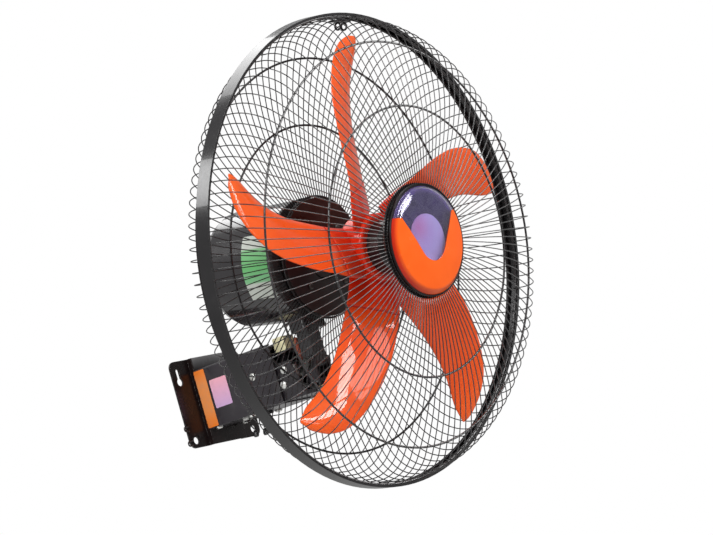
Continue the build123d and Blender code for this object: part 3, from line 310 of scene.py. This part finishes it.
# plastics: colour, roughness and grain
rubber = plastic("black_rubber", (0.012, 0.012, 0.012), 0.7, 0.4)
black_plastic = plastic("black_plastic", (0.012, 0.012, 0.013), 0.28, 0.1, coat=0.3)
spinner_plastic = plastic("spinner_plastic", (0.012, 0.008, 0.009), 0.30, 0.1, coat=0.3)
cream_plastic = plastic("cream_plastic", (0.95, 0.86, 0.56), 0.38, 0.15)
sheath = plastic("lead_sheath", (0.40, 0.085, 0.045), 0.5, 0.5, grain_scale=900.0, spread=0.25)
string = plastic("string", (0.030, 0.026, 0.026), 0.8, 0.6, grain_scale=700.0, spread=0.2)

finish("arm_box bottom_cover swing_cradle motor_bridge swing_fork", bracket)
finish("wire_eyes", plate_paint)
finish("motor_rear_shell neck_lug", motor)
finish("motor_front_shell guard_plate", dark_front)
finish("front_grille rear_grille top_clip", guard)
finish("rim_band", band)
finish("box_screws swing_motor_screws link_clip neck_nut switch_nuts swing_link swing_crank badge_screws "
       "swing_motor", zinc)
finish("bridge_screws", bright_zinc)
finish("tilt_bolt tilt_washers tilt_nut motor_screws guard_screws", black_zinc)
finish("neck_bush front_bearing rear_bearing", bronze)
finish("stator_windings", copper)
finish("stator_core rotor_core stator_stays motor_shaft shaft_pin", steel)
finish("cable_gland lead_grommets", rubber)
finish("speed_switch swing_switch speed_knob swing_knob badge_back", black_plastic)
finish("spinner", spinner_plastic)
finish("terminal_block", cream_plastic)


# ---------------------------------------------------------------- wall plate's paint, with painted light on its web
def heights(name):
    """Lowest and highest point of a node."""
    return [corner[2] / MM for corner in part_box(name)]


STRIP_LOW, STRIP_HIGH = heights("label_strip")
# painted light on the web: where it starts above the strip, where it is full, and the plate's top
LIT_FROM, LIT_FULL = STRIP_HIGH + 1.5, STRIP_HIGH + 9.0
LIT_TOP = heights("wall_plate")[1]
LIT_HALF, LIT_Y = 28.5, -5.5                # on the flat of the web, clear of its bends
PLATE_DARK, PLATE_LIGHT = (0.008, 0.0045, 0.0045), (0.013, 0.008, 0.008)
# painted light: tones that grow paler up the web, from where the painted light is full to the plate's top
PLATE_LIT_TONES = ((0.0, (0.110, 0.110, 0.114)), (0.45, (0.180, 0.180, 0.185)), (1.0, (0.290, 0.290, 0.295)))


def wall_plate_material():
    """The plate's dark paint, with painted light on the raised web above the strip: grey that grows paler
    towards the top, as if lit from above.
    """
    m = Mat("plate_painted_light", Coat_Weight=0.08, Coat_Roughness=0.06, Specular_IOR_Level=0.3)
    place = m.place()
    height = m.axis(place, 2)
    above = m.span(height, LIT_FROM * MM, LIT_FULL * MM)
    web = m.math("MULTIPLY", m.math("LESS_THAN", m.math("ABSOLUTE", m.axis(place, 0)), LIT_HALF * MM),
                 m.math("LESS_THAN", m.axis(place, 1), LIT_Y * MM))
    cloud = m.span(m.noise(25.0, 4.0), *TONE_RANGE)
    # painted light from above, on the web only, a little uneven
    painted_light = m.math("MULTIPLY", m.math("MULTIPLY", above, web), m.span(cloud, 0.0, 1.0, 0.75, 1.0))
    pale = m.ramp(m.span(height, LIT_FULL * MM, LIT_TOP * MM), PLATE_LIT_TONES)
    edge, bevel = m.worn_edges(0.5)
    m.set("Base Color", m.mix(edge, m.mix(painted_light, m.mix(cloud, PLATE_DARK, PLATE_LIGHT), pale), WORN))
    m.uneven(CLOUD, 0.22, 0.36)
    m.set("Metallic", m.math("MULTIPLY", edge, BARE_METAL))
    m.set("Normal", m.bump(m.noise(*GRAIN), 0.2, bevel))
    return m.material


finish("wall_plate", wall_plate_material())


# ---------------------------------------------------------------- printed labels, all plain
def print_material(name, axis, stops, head=False):
    """Plain printed sheet: its colour runs along one axis, with paper grain and faint handling marks."""
    m = Mat(name, Coat_Weight=0.25, Coat_Roughness=0.15, Specular_IOR_Level=0.35)
    low, high = stops[0][0], stops[-1][0]
    along = m.span(m.axis(m.place(head), axis), low * MM, high * MM)
    tone = m.ramp(along, [((at - low) / (high - low), colour) for at, colour in stops])
    marks = m.span(m.noise(140.0, 4.0), 0.5, 0.75, 0.0, 0.18)
    m.set("Base Color", m.mix(marks, tone, (0.30, 0.26, 0.24)))
    m.uneven((60.0, 3.0), 0.357, 0.546)
    m.set("Normal", m.bump(m.noise(*GRAIN), 0.12))
    return m.material


STRIP_ENDS, STRIP_MIDDLE = (0.80, 0.19, 0.016), (0.78, 0.27, 0.075)
STRIP_RUN = STRIP_HIGH - STRIP_LOW
STRIP_STOPS = ((STRIP_LOW, STRIP_ENDS), (STRIP_LOW + 0.30 * STRIP_RUN, STRIP_MIDDLE),
               (STRIP_LOW + 0.75 * STRIP_RUN, STRIP_MIDDLE), (STRIP_HIGH, STRIP_ENDS))
PANEL_TONES = ((0.56, 0.36, 0.60), (0.82, 0.39, 0.48))
LABEL_PALE, LABEL_GREEN, LABEL_GREEN_LOW, LABEL_GREEN_HIGH = ((0.52, 0.55, 0.50), (0.13, 0.45, 0.15),
                                                              (0.20, 0.48, 0.24), (0.20, 0.50, 0.22))
# across the motor's label, in the head's frame: the green field and its soft edges
LABEL_STOPS = ((-45.0, LABEL_PALE), (-19.0, LABEL_PALE), (-17.0, LABEL_GREEN_LOW), (0.0, LABEL_GREEN),
               (21.0, LABEL_GREEN_HIGH), (23.0, LABEL_PALE), (45.0, LABEL_PALE))
finish("label_strip", print_material("strip_print", 2, STRIP_STOPS))
finish("label_panel", print_material("panel_print", 2, tuple(zip(heights("label_panel"), PANEL_TONES))))
finish("motor_label", print_material("motor_print", 1, LABEL_STOPS, head=True))

# ---------------------------------------------------------------- fan's plastic
SWEEP_R = 250.0
FAN_TONES = ((0.0, (0.68, 0.016, 0.005)), (0.26, (0.73, 0.028, 0.005)), (0.36, (0.78, 0.073, 0.009)),
             (1.0, (0.79, 0.106, 0.014)))     # at shares of the sweep's radius
# the second colour is painted shade, laid as a dark line over each blade root's step
FAN_RED, STEP_SHADE_RED = (0.75, 0.045, 0.006), (0.50, 0.018, 0.004)
STEP_SHADE_FROM, STEP_SHADE_TO = 73.9, 76.4               # where the painted shade lies: over the step at the end of each blade's thick root


def fan_material():
    """Orange plastic, redder towards the hub, with painted shade as a darker line over the step of the roots.
    """
    m = Mat("fan_plastic", Coat_Weight=0.6, Coat_Roughness=0.03, Specular_IOR_Level=0.05,
            Subsurface_Weight=0.15, Subsurface_Scale=0.004)
    warm = m.ramp(m.span(m.radius(m.place(head=True)), 0.0, SWEEP_R * MM), FAN_TONES)
    warm = m.mix(m.span(m.noise(14.0, 3.0), 0.4, 0.7, 0.0, 0.25), warm, FAN_RED)
    span = m.node("ShaderNodeAttribute", {"attribute_name": "span"}).outputs["Fac"]
    # painted shade in the step at the end of each root
    step_shade = m.math("MULTIPLY", m.math("GREATER_THAN", span, STEP_SHADE_FROM), m.math("LESS_THAN", span, STEP_SHADE_TO))
    m.set("Base Color", m.mix(step_shade, warm, STEP_SHADE_RED))
    m.uneven((60.0, 4.0), 0.26, 0.42)
    m.set("Normal", m.bump(m.noise(700.0, 2.0), 0.06))
    return m.material


fan_plastic = fan_material()
finish("fan_blade", fan_plastic)

# ---------------------------------------------------------------- badge's materials
# the third colour is painted shade: a deep red down the outer wall that stands in for shade and dark
# reflections on its left
COVER_LOW, COVER_HIGH, COVER_SHADE_RED = (0.86, 0.108, 0.006), (0.91, 0.125, 0.010), (0.46, 0.016, 0.002)
COVER_SHADE_RADII = (57.5, 61.5)                     # radii between which the painted shade deepens the colour
COVER_SHADE_X = (10.0, -40.0)                    # and where it does so least and most, across the cover


def cover_material():
    """Orange moulding, with painted shade that deepens its colour down its outer wall, most of all on the
    left.
    """
    m = Mat("badge_orange", Coat_Weight=0.2, Coat_Roughness=0.05, Specular_IOR_Level=0.2)
    at = m.place(head=True)
    left = m.span(m.axis(at, 0), *(x * MM for x in COVER_SHADE_X), 0.15, 1.0)
    # painted shade: deeper red down the outer wall, strongest on the left
    wall = m.math("MULTIPLY", m.span(m.radius(at), *(r * MM for r in COVER_SHADE_RADII)), left)
    m.set("Base Color", m.mix(wall, m.mottled((30.0, 4.0), COVER_LOW, COVER_HIGH), COVER_SHADE_RED))
    m.uneven((50.0, 3.0), 0.18, 0.30)
    m.set("Normal", m.bump(m.noise(1400.0, 2.0), 0.03, m.rounded(0.8)))
    return m.material


FLOOR_Z, FLOOR_R = 84.2, 62.0                 # the dish's blue floor is above this height, within this radius
FLOOR_RING = (54.0, 60.0)                     # towards its edge it is lighter
FLOOR_LOW, FLOOR_HIGH, FLOOR_EDGE = (0.012, 0.006, 0.052), (0.020, 0.010, 0.075), (0.105, 0.060, 0.235)
DISH_BLACK = (0.012, 0.010, 0.011)


def dish_material():
    """Black dish whose floor, seen through the lens, is dark blue."""
    m = Mat("dish_plastic", Coat_Weight=0.1, Coat_Roughness=0.08, Specular_IOR_Level=0.2)
    at = m.place(head=True)
    radius = m.radius(at)
    floor = m.math("MULTIPLY", m.math("GREATER_THAN", m.axis(at, 2), FLOOR_Z * MM),
                   m.math("LESS_THAN", radius, FLOOR_R * MM))
    ring = m.span(radius, *(r * MM for r in FLOOR_RING))
    blue = m.mix(ring, m.mottled((40.0, 3.0), FLOOR_LOW, FLOOR_HIGH), FLOOR_EDGE)
    m.set("Base Color", m.mix(floor, DISH_BLACK, blue))
    m.uneven((80.0, 3.0), 0.24, 0.36)
    m.set("Normal", m.bump(m.noise(*GRAIN), 0.08, m.rounded(0.5)))
    return m.material


DISC_TONES = ((0.0, (0.58, 0.54, 0.70)), (0.40, (0.58, 0.46, 0.64)), (1.0, (0.70, 0.27, 0.44)))
DISC_MARKS = (0.40, 0.32, 0.56)
DISC_SHIFT, DISC_SCALE = (0.42, -0.48, 0), (30, 30, 0)   # lay the warm spot up and to the left of the middle


def disc_material():
    """Plain lilac disc, warmer towards its upper left."""
    m = Mat("disc_print", Coat_Weight=0.2, Coat_Roughness=0.2)
    at = m.node("ShaderNodeMapping", Vector=m.place(head=True), Location=DISC_SHIFT, Scale=DISC_SCALE)
    warm = m.node("ShaderNodeTexGradient", {"gradient_type": "SPHERICAL"}, Vector=at).outputs[0]
    marks = m.span(m.noise(120.0, 3.0), 0.45, 0.75, 0.0, 0.12)
    m.set("Base Color", m.mix(marks, m.ramp(warm, DISC_TONES), DISC_MARKS))
    m.uneven((70.0, 3.0), 0.3, 0.45)
    m.set("Normal", m.bump(m.noise(600.0, 2.0), 0.1))
    return m.material


def lens_material():
    """Clear moulding, tinted faintly blue, with the slight waviness of its tool."""
    m = Mat("lens_clear", Roughness=0.02, IOR=1.46, Transmission_Weight=0.98, Specular_IOR_Level=0.25)
    m.set("Base Color", m.mix(m.span(m.noise(20.0, 2.0), 0.4, 0.7), (0.78, 0.72, 0.98), (0.83, 0.78, 1.0)))
    m.set("Normal", m.bump(m.noise(24.0, 1.0), 0.01))
    return m.material


finish("badge_cover", cover_material())
finish("badge_plate", disc_material())


# ---------------------------------------------------------------- pieces in mesh code
AXIS_GAP = 0.05                               # innermost radius of a shape that is turned down to its axis
EASE_SHARE = 2.1                              # an eased corner takes a side's length over this at most


def add_mesh(name, points, faces, material, body, stands_for, head=True, span=None):
    """Points in millimetres, in the head's frame or the part's."""
    mesh = bpy.data.meshes.new(name)
    turn = HEAD if head else Matrix.Identity(4)
    mesh.from_pydata([turn @ (Vector(p) * MM) for p in points], [], faces)
    mesh.validate()
    mesh.polygons.foreach_set("use_smooth", [True] * len(mesh.polygons))
    if span is not None:
        mesh.attributes.new("span", "FLOAT", "POINT").data.foreach_set("value", span)
    mesh.materials.append(material)
    piece = bpy.data.objects.new(name, mesh)
    scene.collection.objects.link(piece)
    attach(piece, body)
    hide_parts(stands_for)


def grid_faces(rows, columns, start=0):
    """Quads between rings of points."""
    faces = []
    for r in range(rows - 1):
        for c in range(columns):
            a, b = start + r * columns + c, start + r * columns + (c + 1) % columns
            faces.append((a, b, b + columns, a + columns))
    return faces


def join(points, faces, shape):
    """Adds another shape's points and faces to the lists."""
    more_points, more_faces = shape
    faces += [tuple(len(points) + i for i in face) for face in more_faces]
    points += more_points


def lathe(profile, segments=96, centre=(0.0, 0.0)):
    """Surface of revolution about the local Z axis from (radius, z) points, open at both ends."""
    points = []
    for r, z in profile:
        for k in range(segments):
            a = 2 * math.pi * k / segments
            points.append((centre[0] + r * math.cos(a), centre[1] + r * math.sin(a), z))
    return points, grid_faces(len(profile), segments)


def rounded_profile(corners, radius, steps=4):
    """Corner points with each inner corner eased by a short curve."""
    out = [corners[0]]
    for before, at, after in zip(corners, corners[1:], corners[2:]):
        b, p, a = Vector(before), Vector(at), Vector(after)
        reach = min(radius, (p - b).length / EASE_SHARE, (a - p).length / EASE_SHARE)
        start, end = p + (b - p).normalized() * reach, p + (a - p).normalized() * reach
        for k in range(steps + 1):
            t = k / steps
            q = start * (1 - t) ** 2 + p * 2 * t * (1 - t) + end * t ** 2
            out.append((q.x, q.y))
    return out + [corners[-1]]


def turned(points, degrees):
    """Points turned about the local Z axis."""
    a = math.radians(degrees)
    return [(x * math.cos(a) - y * math.sin(a), x * math.sin(a) + y * math.cos(a), z) for x, y, z in points]


# ---------------------------------------------------------------- fan: five cambered blades on a moulded hub
BLADES, FAN_TURN = 5, 5.0                     # the fan has stopped this many degrees round from its mark
# per station: radius, turn from the hub's mark, width, height on the axis and slope
STATIONS = ((30.0, -27.5, 62.0, 3.5, -0.30), (62.0, -22.5, 62.0, 9.0, -0.42),
            (92.0, -18.5, 61.0, 12.0, -0.50), (141.0, -14.9, 61.0, 11.5, -0.48),
            (188.0, -10.3, 61.0, 8.5, -0.36), (224.0, -5.0, 57.0, 6.0, -0.28),
            (241.0, -1.8, 40.0, 4.0, -0.20), (SWEEP_R, 1.0, 17.0, 1.5, -0.15))
CAMBER, EDGE_POWER, ACROSS = 0.06, 10, 15     # rise as a share of the width, fullness of the edges, points
ROOT_T, BLADE_T = 4.2, 2.0
# rings that are evenly spaced: first radius, step and number
ROOT_RINGS, SWEEP_RINGS, END_RINGS = (37.0, 2.9, 13), (79.0, 6.0, 24), (221.0, 3.0, 7)
STEP_RINGS = ((73.4, 4.2), (74.1, 3.4), (74.4, 2.2), (75.4, 1.2), (76.4, 1.9))      # radius and thickness
# radius, thickness and share of the width at the rounded tip
TIP_RINGS = ((241.5, 1.9, 1.0), (244.0, 1.9, 1.0), (246.5, 1.8, 1.0), (248.5, 1.6, 0.98), (249.6, 1.2, 0.86),
             (SWEEP_R, 0.5, 0.6))
HUB_R, HUB_BACK, HUB_FRONT, HUB_WALL = 40.0, -14.0, 20.0, 2.6
STEM_R, STEM_BACK, STEM_BORE = 13.0, -46.0, 5.2
HUB_FLOOR = 17.2                              # underside of the hub's front
# round the wall, over the bevel, down a shallow groove round the spinner's foot and in to the bore
HUB_OUTSIDE = ((HUB_R - HUB_WALL, HUB_BACK), (HUB_R, HUB_BACK), (HUB_R, 17.4), (37.6, HUB_FRONT),
               (33.5, HUB_FRONT), (33.0, 19.4), (32.0, 19.4), (STEM_BORE, 19.9))
HUB_INSIDE = ((STEM_BORE, STEM_BACK), (STEM_R, STEM_BACK), (STEM_R, HUB_FLOOR), (HUB_R - HUB_WALL, HUB_FLOOR),
              (HUB_R - HUB_WALL, HUB_BACK))
HUB_EASE, STEM_EASE = 1.1, 0.8


def station_at(r):
    """Smooth values between the stations, by a cubic through the neighbours."""
    last = len(STATIONS) - 1
    beyond = next((k for k, station in enumerate(STATIONS) if station[0] >= r), last)
    i = max(1, beyond)
    p1, p2 = STATIONS[i - 1], STATIONS[i]
    p0, p3 = STATIONS[max(i - 2, 0)], STATIONS[min(i + 1, last)]
    gap = p2[0] - p1[0]
    t = (r - p1[0]) / gap
    out = []
    for k in range(1, len(p1)):
        m1 = (p2[k] - p0[k]) / (p2[0] - p0[0]) * gap
        m2 = (p3[k] - p1[k]) / (p3[0] - p1[0]) * gap
        out.append((2 * t ** 3 - 3 * t ** 2 + 1) * p1[k] + (t ** 3 - 2 * t ** 2 + t) * m1
                   + (3 * t ** 2 - 2 * t ** 3) * p2[k] + (t ** 3 - t ** 2) * m2)
    return out


def blade_ring(r, thick, share):
    """Points round the blade's section at a radius: its front from edge to edge, then its back."""
    turn, width, height, slope = station_at(r)
    tilt = math.atan(slope)
    half = width / math.cos(tilt) / 2 * share
    ring = []
    for side in (1, -1):
        for k in range(ACROSS):
            u = -side * math.cos(math.pi * k / (ACROSS - 1))
            if side == -1 and k in (0, ACROSS - 1):
                continue
            x = half * u
            z = CAMBER * width * (1 - u * u) + side * thick / 2 * (1 - abs(u) ** EDGE_POWER) ** 0.5
            rise = height + x * math.sin(tilt) + z * math.cos(tilt)
            ring.append((x * math.cos(tilt) - z * math.sin(tilt), r, rise))
    return turned(ring, -turn)


def blade_steps():
    """Radius, thickness and share of the width of each ring: thick root, step, thin sweep and rounded tip."""
    steps = [(ROOT_RINGS[0] + ROOT_RINGS[1] * k, ROOT_T, 1.0) for k in range(ROOT_RINGS[2])]
    steps += [(r, thick, 1.0) for r, thick in STEP_RINGS]
    for first, step, count in (SWEEP_RINGS, END_RINGS):
        steps += [(first + step * k, BLADE_T, 1.0) for k in range(count)]
    return steps + list(TIP_RINGS)


def add_fan():
    steps = blade_steps()
    rings = [blade_ring(*step) for step in steps]
    columns = len(rings[0])
    points, faces, span = [], [], []
    for k in range(BLADES):
        start = len(points)
        for ring, step in zip(rings, steps):
            points += turned(ring, -FAN_TURN - 360.0 / BLADES * k)
            span += [step[0]] * columns
        faces += grid_faces(len(rings), columns, start)
        faces.append(tuple(start + (len(rings) - 1) * columns + c for c in range(columns)))
    for profile, ease in ((HUB_OUTSIDE, HUB_EASE), (HUB_INSIDE, STEM_EASE)):
        join(points, faces, lathe(rounded_profile(profile, ease)))
    span += [0.0] * (len(points) - len(span))
    add_mesh("fan_moulding", points, faces, fan_plastic, "rotor", "fan_blade", span=span)


add_fan()

# ---------------------------------------------------------------- badge's lens
LENS_R, LENS_BASE, LENS_TOP, LENS_WALL = 61.7, 85.0, 92.9, 1.5
LENS_DRAFT, LENS_SEGMENTS = 0.4, 320
SHOULDER_REACH, SHOULDER_RISE, SHOULDER_DROP = 15.0, 4.9, 6.2
SHOULDER_TURN, SHOULDER_STEPS, DOME_STEPS = 9.0, 9, 10


def lens_profile(inset):
    """From the foot up the wall, over a round shoulder and in along the shallow dome."""
    r, top = LENS_R - inset, LENS_TOP - inset
    edge, bend = r - LENS_DRAFT, top - SHOULDER_DROP
    profile = [(r, LENS_BASE), (edge, bend)]
    for k in range(1, SHOULDER_STEPS + 1):
        a = math.radians(SHOULDER_TURN * k)
        profile.append((edge - SHOULDER_REACH * (1 - math.cos(a)), bend + SHOULDER_RISE * math.sin(a)))
    inner, low = profile[-1]
    for k in range(1, DOME_STEPS + 1):
        t = k / DOME_STEPS
        profile.append((max(inner * (1 - t), AXIS_GAP), low + (top - low) * (1 - (1 - t) ** 2)))
    return profile


def add_lens():
    outer, inner = lens_profile(0.0), lens_profile(LENS_WALL)
    count, rows = LENS_SEGMENTS, len(outer) + len(inner)
    points, faces = lathe(inner[::-1] + outer, count)
    faces += [tuple(range(count - 1, -1, -1)), tuple(range((rows - 1) * count, rows * count))]
    add_mesh("lens_shell", points, faces, lens_material(), "head", "badge_lens")


add_lens()

# ---------------------------------------------------------------- badge's dish
DISH_R, DISH_WALL, DISH_FLOOR, DISH_RIM, DISH_EASE = 65.7, 1.5, 1.6, 2.6, 0.7
DISH_SEGMENTS, BOSS_SEGMENTS = 160, 32
BOSSES, BOSS_R, BOSS_HOLE, BOSS_AT, BOSS_START = 3, 4.5, 1.2, 40.0, 90.0
BOSS_DEPTH, BOSS_SUNK, BOSS_EASE = 5.5, 0.1, 0.5


def add_dish():
    """Dish with an eased rim, and three bosses behind it that reach back to the fixing plate."""
    low, inside = LENS_BASE - DISH_FLOOR, DISH_R - DISH_WALL
    rim = ((AXIS_GAP, low), (DISH_R, low), (DISH_R, low + DISH_RIM), (inside, low + DISH_RIM),
           (inside, LENS_BASE), (AXIS_GAP, LENS_BASE))
    points, faces = lathe(rounded_profile(rim, DISH_EASE), DISH_SEGMENTS)
    foot = ((BOSS_HOLE, low - BOSS_DEPTH), (BOSS_R, low - BOSS_DEPTH), (BOSS_R, low + BOSS_SUNK))
    for k in range(BOSSES):
        a = math.radians(BOSS_START + 360.0 / BOSSES * k)
        centre = (BOSS_AT * math.cos(a), BOSS_AT * math.sin(a))
        join(points, faces, lathe(rounded_profile(foot, BOSS_EASE), BOSS_SEGMENTS, centre))
    add_mesh("badge_dish", points, faces, dish_material(), "head", "badge_base")


add_dish()


# ---------------------------------------------------------------- pull cords and lead sheaths
def tube_rings(points, radius_at, sides, offset=0.0, phase=0.0, pitch=1.0):
    """Rings of points round a line, or round a helix that winds about it at an offset."""
    across = Vector((0.0, 1.0, 0.0))
    rings, run = [], 0.0
    for k, at in enumerate(points):
        run += (at - points[k - 1]).length if k else 0.0
        along = (points[min(k + 1, len(points) - 1)] - points[max(k - 1, 0)]).normalized()
        across = (across - along * across.dot(along)).normalized()
        third = along.cross(across)
        turn = phase + 2 * math.pi * run / pitch
        middle = at + (across * math.cos(turn) + third * math.sin(turn)) * offset
        ring = []
        for c in range(sides):
            a = 2 * math.pi * c / sides
            r = radius_at(run, a)
            ring.append(tuple(middle + across * (r * math.cos(a)) + third * (r * math.sin(a))))
        rings.append(ring)
    return rings


def closed_tube(rings, points, faces):
    """Adds a tube with both ends closed to the lists."""
    sides, start = len(rings[0]), len(points)
    for ring in rings:
        points += ring
    faces += grid_faces(len(rings), sides, start)
    faces.append(tuple(start + c for c in range(sides - 1, -1, -1)))
    faces.append(tuple(start + (len(rings) - 1) * sides + c for c in range(sides)))


STRANDS, STRAND_R, STRAND_OFFSET, STRAND_PITCH, STRAND_SIDES = 3, 0.50, 0.48, 5.2, 10
STOP_R, STOP_H, STOP_EASE, STOP_HOLE, STOP_SEGMENTS = 3.2, 3.0, 0.4, 0.1, 32
RIB_PITCH, RIB_DEPTH, SHEATH_SIDES = 1.8, 0.05, 24
SHRINK_LENGTH, SHRINK_DEPTH = 4.0, 0.45


def add_string(name):
    """Twisted cord of three strands, with the stop that holds it inside its switch."""
    line, points, faces = CORD_LINES[name], [], []
    for k in range(STRANDS):
        rings = tube_rings(line, lambda run, a: STRAND_R, STRAND_SIDES, offset=STRAND_OFFSET,
                           phase=2 * math.pi * k / STRANDS, pitch=STRAND_PITCH)
        closed_tube(rings, points, faces)
    low, high, inner = CORD_TOP, CORD_TOP + STOP_H, STOP_R - STOP_EASE
    stop = ((STOP_HOLE, low), (inner, low), (STOP_R, low + STOP_EASE), (STOP_R, high - STOP_EASE),
            (inner, high), (STOP_HOLE, high))
    join(points, faces, lathe(stop, STOP_SEGMENTS, centre=(line[0].x, line[0].y)))
    add_mesh(f"{name}_string", points, faces, string, f"{name}_pull", f"{name}_cord", head=False)


def add_leads():
    """Ribbed sheaths that stand on the bridge and close in a shrunk cap."""
    points, faces = [], []
    for line, r in LEAD_LINES:
        total = sum((b - a).length for a, b in zip(line, line[1:]))

        def radius_at(run, a):
            cap = max(0.0, run - (total - SHRINK_LENGTH)) / SHRINK_LENGTH
            ribs = 1.0 - RIB_DEPTH * (0.5 - 0.5 * math.cos(2 * math.pi * run / RIB_PITCH + a))
            return r * (ribs * (1 - cap) + cap * (1.0 - SHRINK_DEPTH * cap * cap))

        closed_tube(tube_rings(line, radius_at, SHEATH_SIDES), points, faces)
    add_mesh("lead_sheaths", points, faces, sheath, "base", "motor_leads", head=False)


for name in CORD_LINES:
    add_string(name)
add_leads()

# ---------------------------------------------------------------- guard wires
WIRE_TRIM = 0.24                              # taken off all round, which leaves straight wires 1.12 mm thick
WELD = 0.002                                  # points that lie closer than this are one


def add_guard(node_name, name, material):
    """The grille's wires with round shading, at their finished thickness."""
    body = bmesh.new()
    body.from_mesh(nodes[node_name].data)
    bmesh.ops.remove_doubles(body, verts=body.verts, dist=WELD * MM)
    body.normal_update()
    points = [tuple((v.co - v.normal * (WIRE_TRIM * MM)) / MM) for v in body.verts]
    faces = [tuple(v.index for v in f.verts) for f in body.faces]
    body.free()
    add_mesh(name, points, faces, material, "head", node_name, head=False)


add_guard("front_grille", "front_wires", front_guard)
add_guard("rear_grille", "rear_wires", guard)

# ---------------------------------------------------------------- floor
PAPER_HALF, PAPER_Z = 14.0, -2.2              # metres, low enough for views from below
PAPER_WHITE = 0.6                             # share of white that the camera sees in the floor
PAPER_TONES = ((0.80, 0.80, 0.80), (0.84, 0.84, 0.83))


def add_floor():
    mesh = bpy.data.meshes.new("floor")
    corners = ((-1, -1), (1, -1), (1, 1), (-1, 1))
    mesh.from_pydata([(PAPER_HALF * x, PAPER_HALF * y, PAPER_Z) for x, y in corners], [], [(0, 1, 2, 3)])
    floor = bpy.data.objects.new("floor", mesh)
    scene.collection.objects.link(floor)
    m = Mat("floor_paper", Roughness=0.9)
    m.set("Base Color", m.mix(m.noise(3.0, 3.0), *PAPER_TONES))
    seen = m.node("ShaderNodeLightPath").outputs["Is Camera Ray"]
    white = m.node("ShaderNodeEmission", Color=(1, 1, 1, 1), Strength=1.0)
    both = m.node("ShaderNodeMixShader", i0=m.math("MULTIPLY", seen, PAPER_WHITE), i1=m.shader, i2=white)
    m.links.new(both.outputs[0], m.output.inputs["Surface"])
    floor.data.materials.append(m.material)


# ---------------------------------------------------------------- lamps, in metres and watts
def add_area(name, at, target, size, power, along=None):
    """Soft box at a place, facing its target; its long side can be laid along a direction."""
    data = bpy.data.lights.new(name, "AREA")
    data.shape = "RECTANGLE"
    data.size, data.size_y = size
    data.energy = power
    lamp = bpy.data.objects.new(name, data)
    scene.collection.objects.link(lamp)
    lamp.location = at
    out = (Vector(at) - Vector(target)).normalized()
    if along is None:
        lamp.rotation_euler = (-out).to_track_quat("-Z", "Y").to_euler()
    else:
        side = (Vector(along) - out * out.dot(Vector(along))).normalized()
        lamp.rotation_euler = Matrix((side, out.cross(side), out)).transposed().to_euler()
    return lamp


def link_light(lamp, name, state="INCLUDE"):
    """Keeps a lamp's light to one piece, or off it, as flags do in a studio."""
    group = bpy.data.collections.new(f"{lamp.name}_{name}")
    group.objects.link(bpy.data.objects[name])
    group.collection_objects[0].light_linking.link_state = state
    lamp.light_linking.receiver_collection = group


def add_lamps():
    add_area("key", (-2.4, -1.6, 1.9), (0, -0.25, 0.05), (1.4, 1.4), 75.0)
    front = add_area("front", (0.72, -2.85, 1.60), (0, -0.39, 0.12), (2.0, 1.0), 75.0)
    link_light(front, "fan_moulding", "EXCLUDE")
    fan_front = add_area("fan_front", (0.53, -2.98, 0.98), (-0.09, -0.29, -0.03), (2.0, 0.4), 54.0,
                         along=(0.62, 0.03, -0.28))
    link_light(fan_front, "fan_moulding")
    fan_side = add_area("fan_side", (0.70, -3.05, 0.20), (-0.05, -0.30, -0.02), (1.2, 0.5), 12.0,
                        along=(0.25, 0.04, -0.32))
    link_light(fan_side, "fan_moulding")
    add_area("left_low", (-3.0, 0.2, -0.4), (0, -0.2, 0.05), (1.0, 1.6), 14.0)
    add_area("band_left", (-1.45, 0.99, 1.62), (-0.25, -0.29, 0.19), (0.75, 0.26), 5.0,
             along=(-0.67, 0.11, -0.74))
    lens_glare = add_area("lens_glare", (1.37, -2.68, 0.66), (0, -0.39, 0.11), (0.95, 0.62), 36.0)
    link_light(lens_glare, "lens_shell")
    wire_glare = add_area("wire_glare", (1.95, -1.85, 0.75), (0, -0.32, 0.1), (1.5, 1.5), 40.0)
    link_light(wire_glare, "front_wires")
    add_area("back_top", (0.61, 0.96, 2.10), (-0.15, -0.29, 0.33), (1.5, 0.6), 9.5, along=(0.92, 0.04, -0.38))


# ---------------------------------------------------------------- world: soft light, and white to the camera
WORLD_LIGHT, WORLD_SEEN = 0.40, 1.0


def add_world():
    world = bpy.data.worlds.new("studio")
    scene.world = world
    world.use_nodes = True
    tree = world.node_tree
    tree.nodes.clear()
    path, mix = tree.nodes.new("ShaderNodeLightPath"), tree.nodes.new("ShaderNodeMixShader")
    tree.links.new(path.outputs["Is Camera Ray"], mix.inputs[0])
    for socket, strength in ((1, WORLD_LIGHT), (2, WORLD_SEEN)):
        glow = tree.nodes.new("ShaderNodeBackground")
        glow.inputs["Color"].default_value = (1, 1, 1, 1)
        glow.inputs["Strength"].default_value = strength
        tree.links.new(glow.outputs[0], mix.inputs[socket])
    out = tree.nodes.new("ShaderNodeOutputWorld")
    tree.links.new(mix.outputs[0], out.inputs[0])


add_floor()
add_world()
add_lamps()
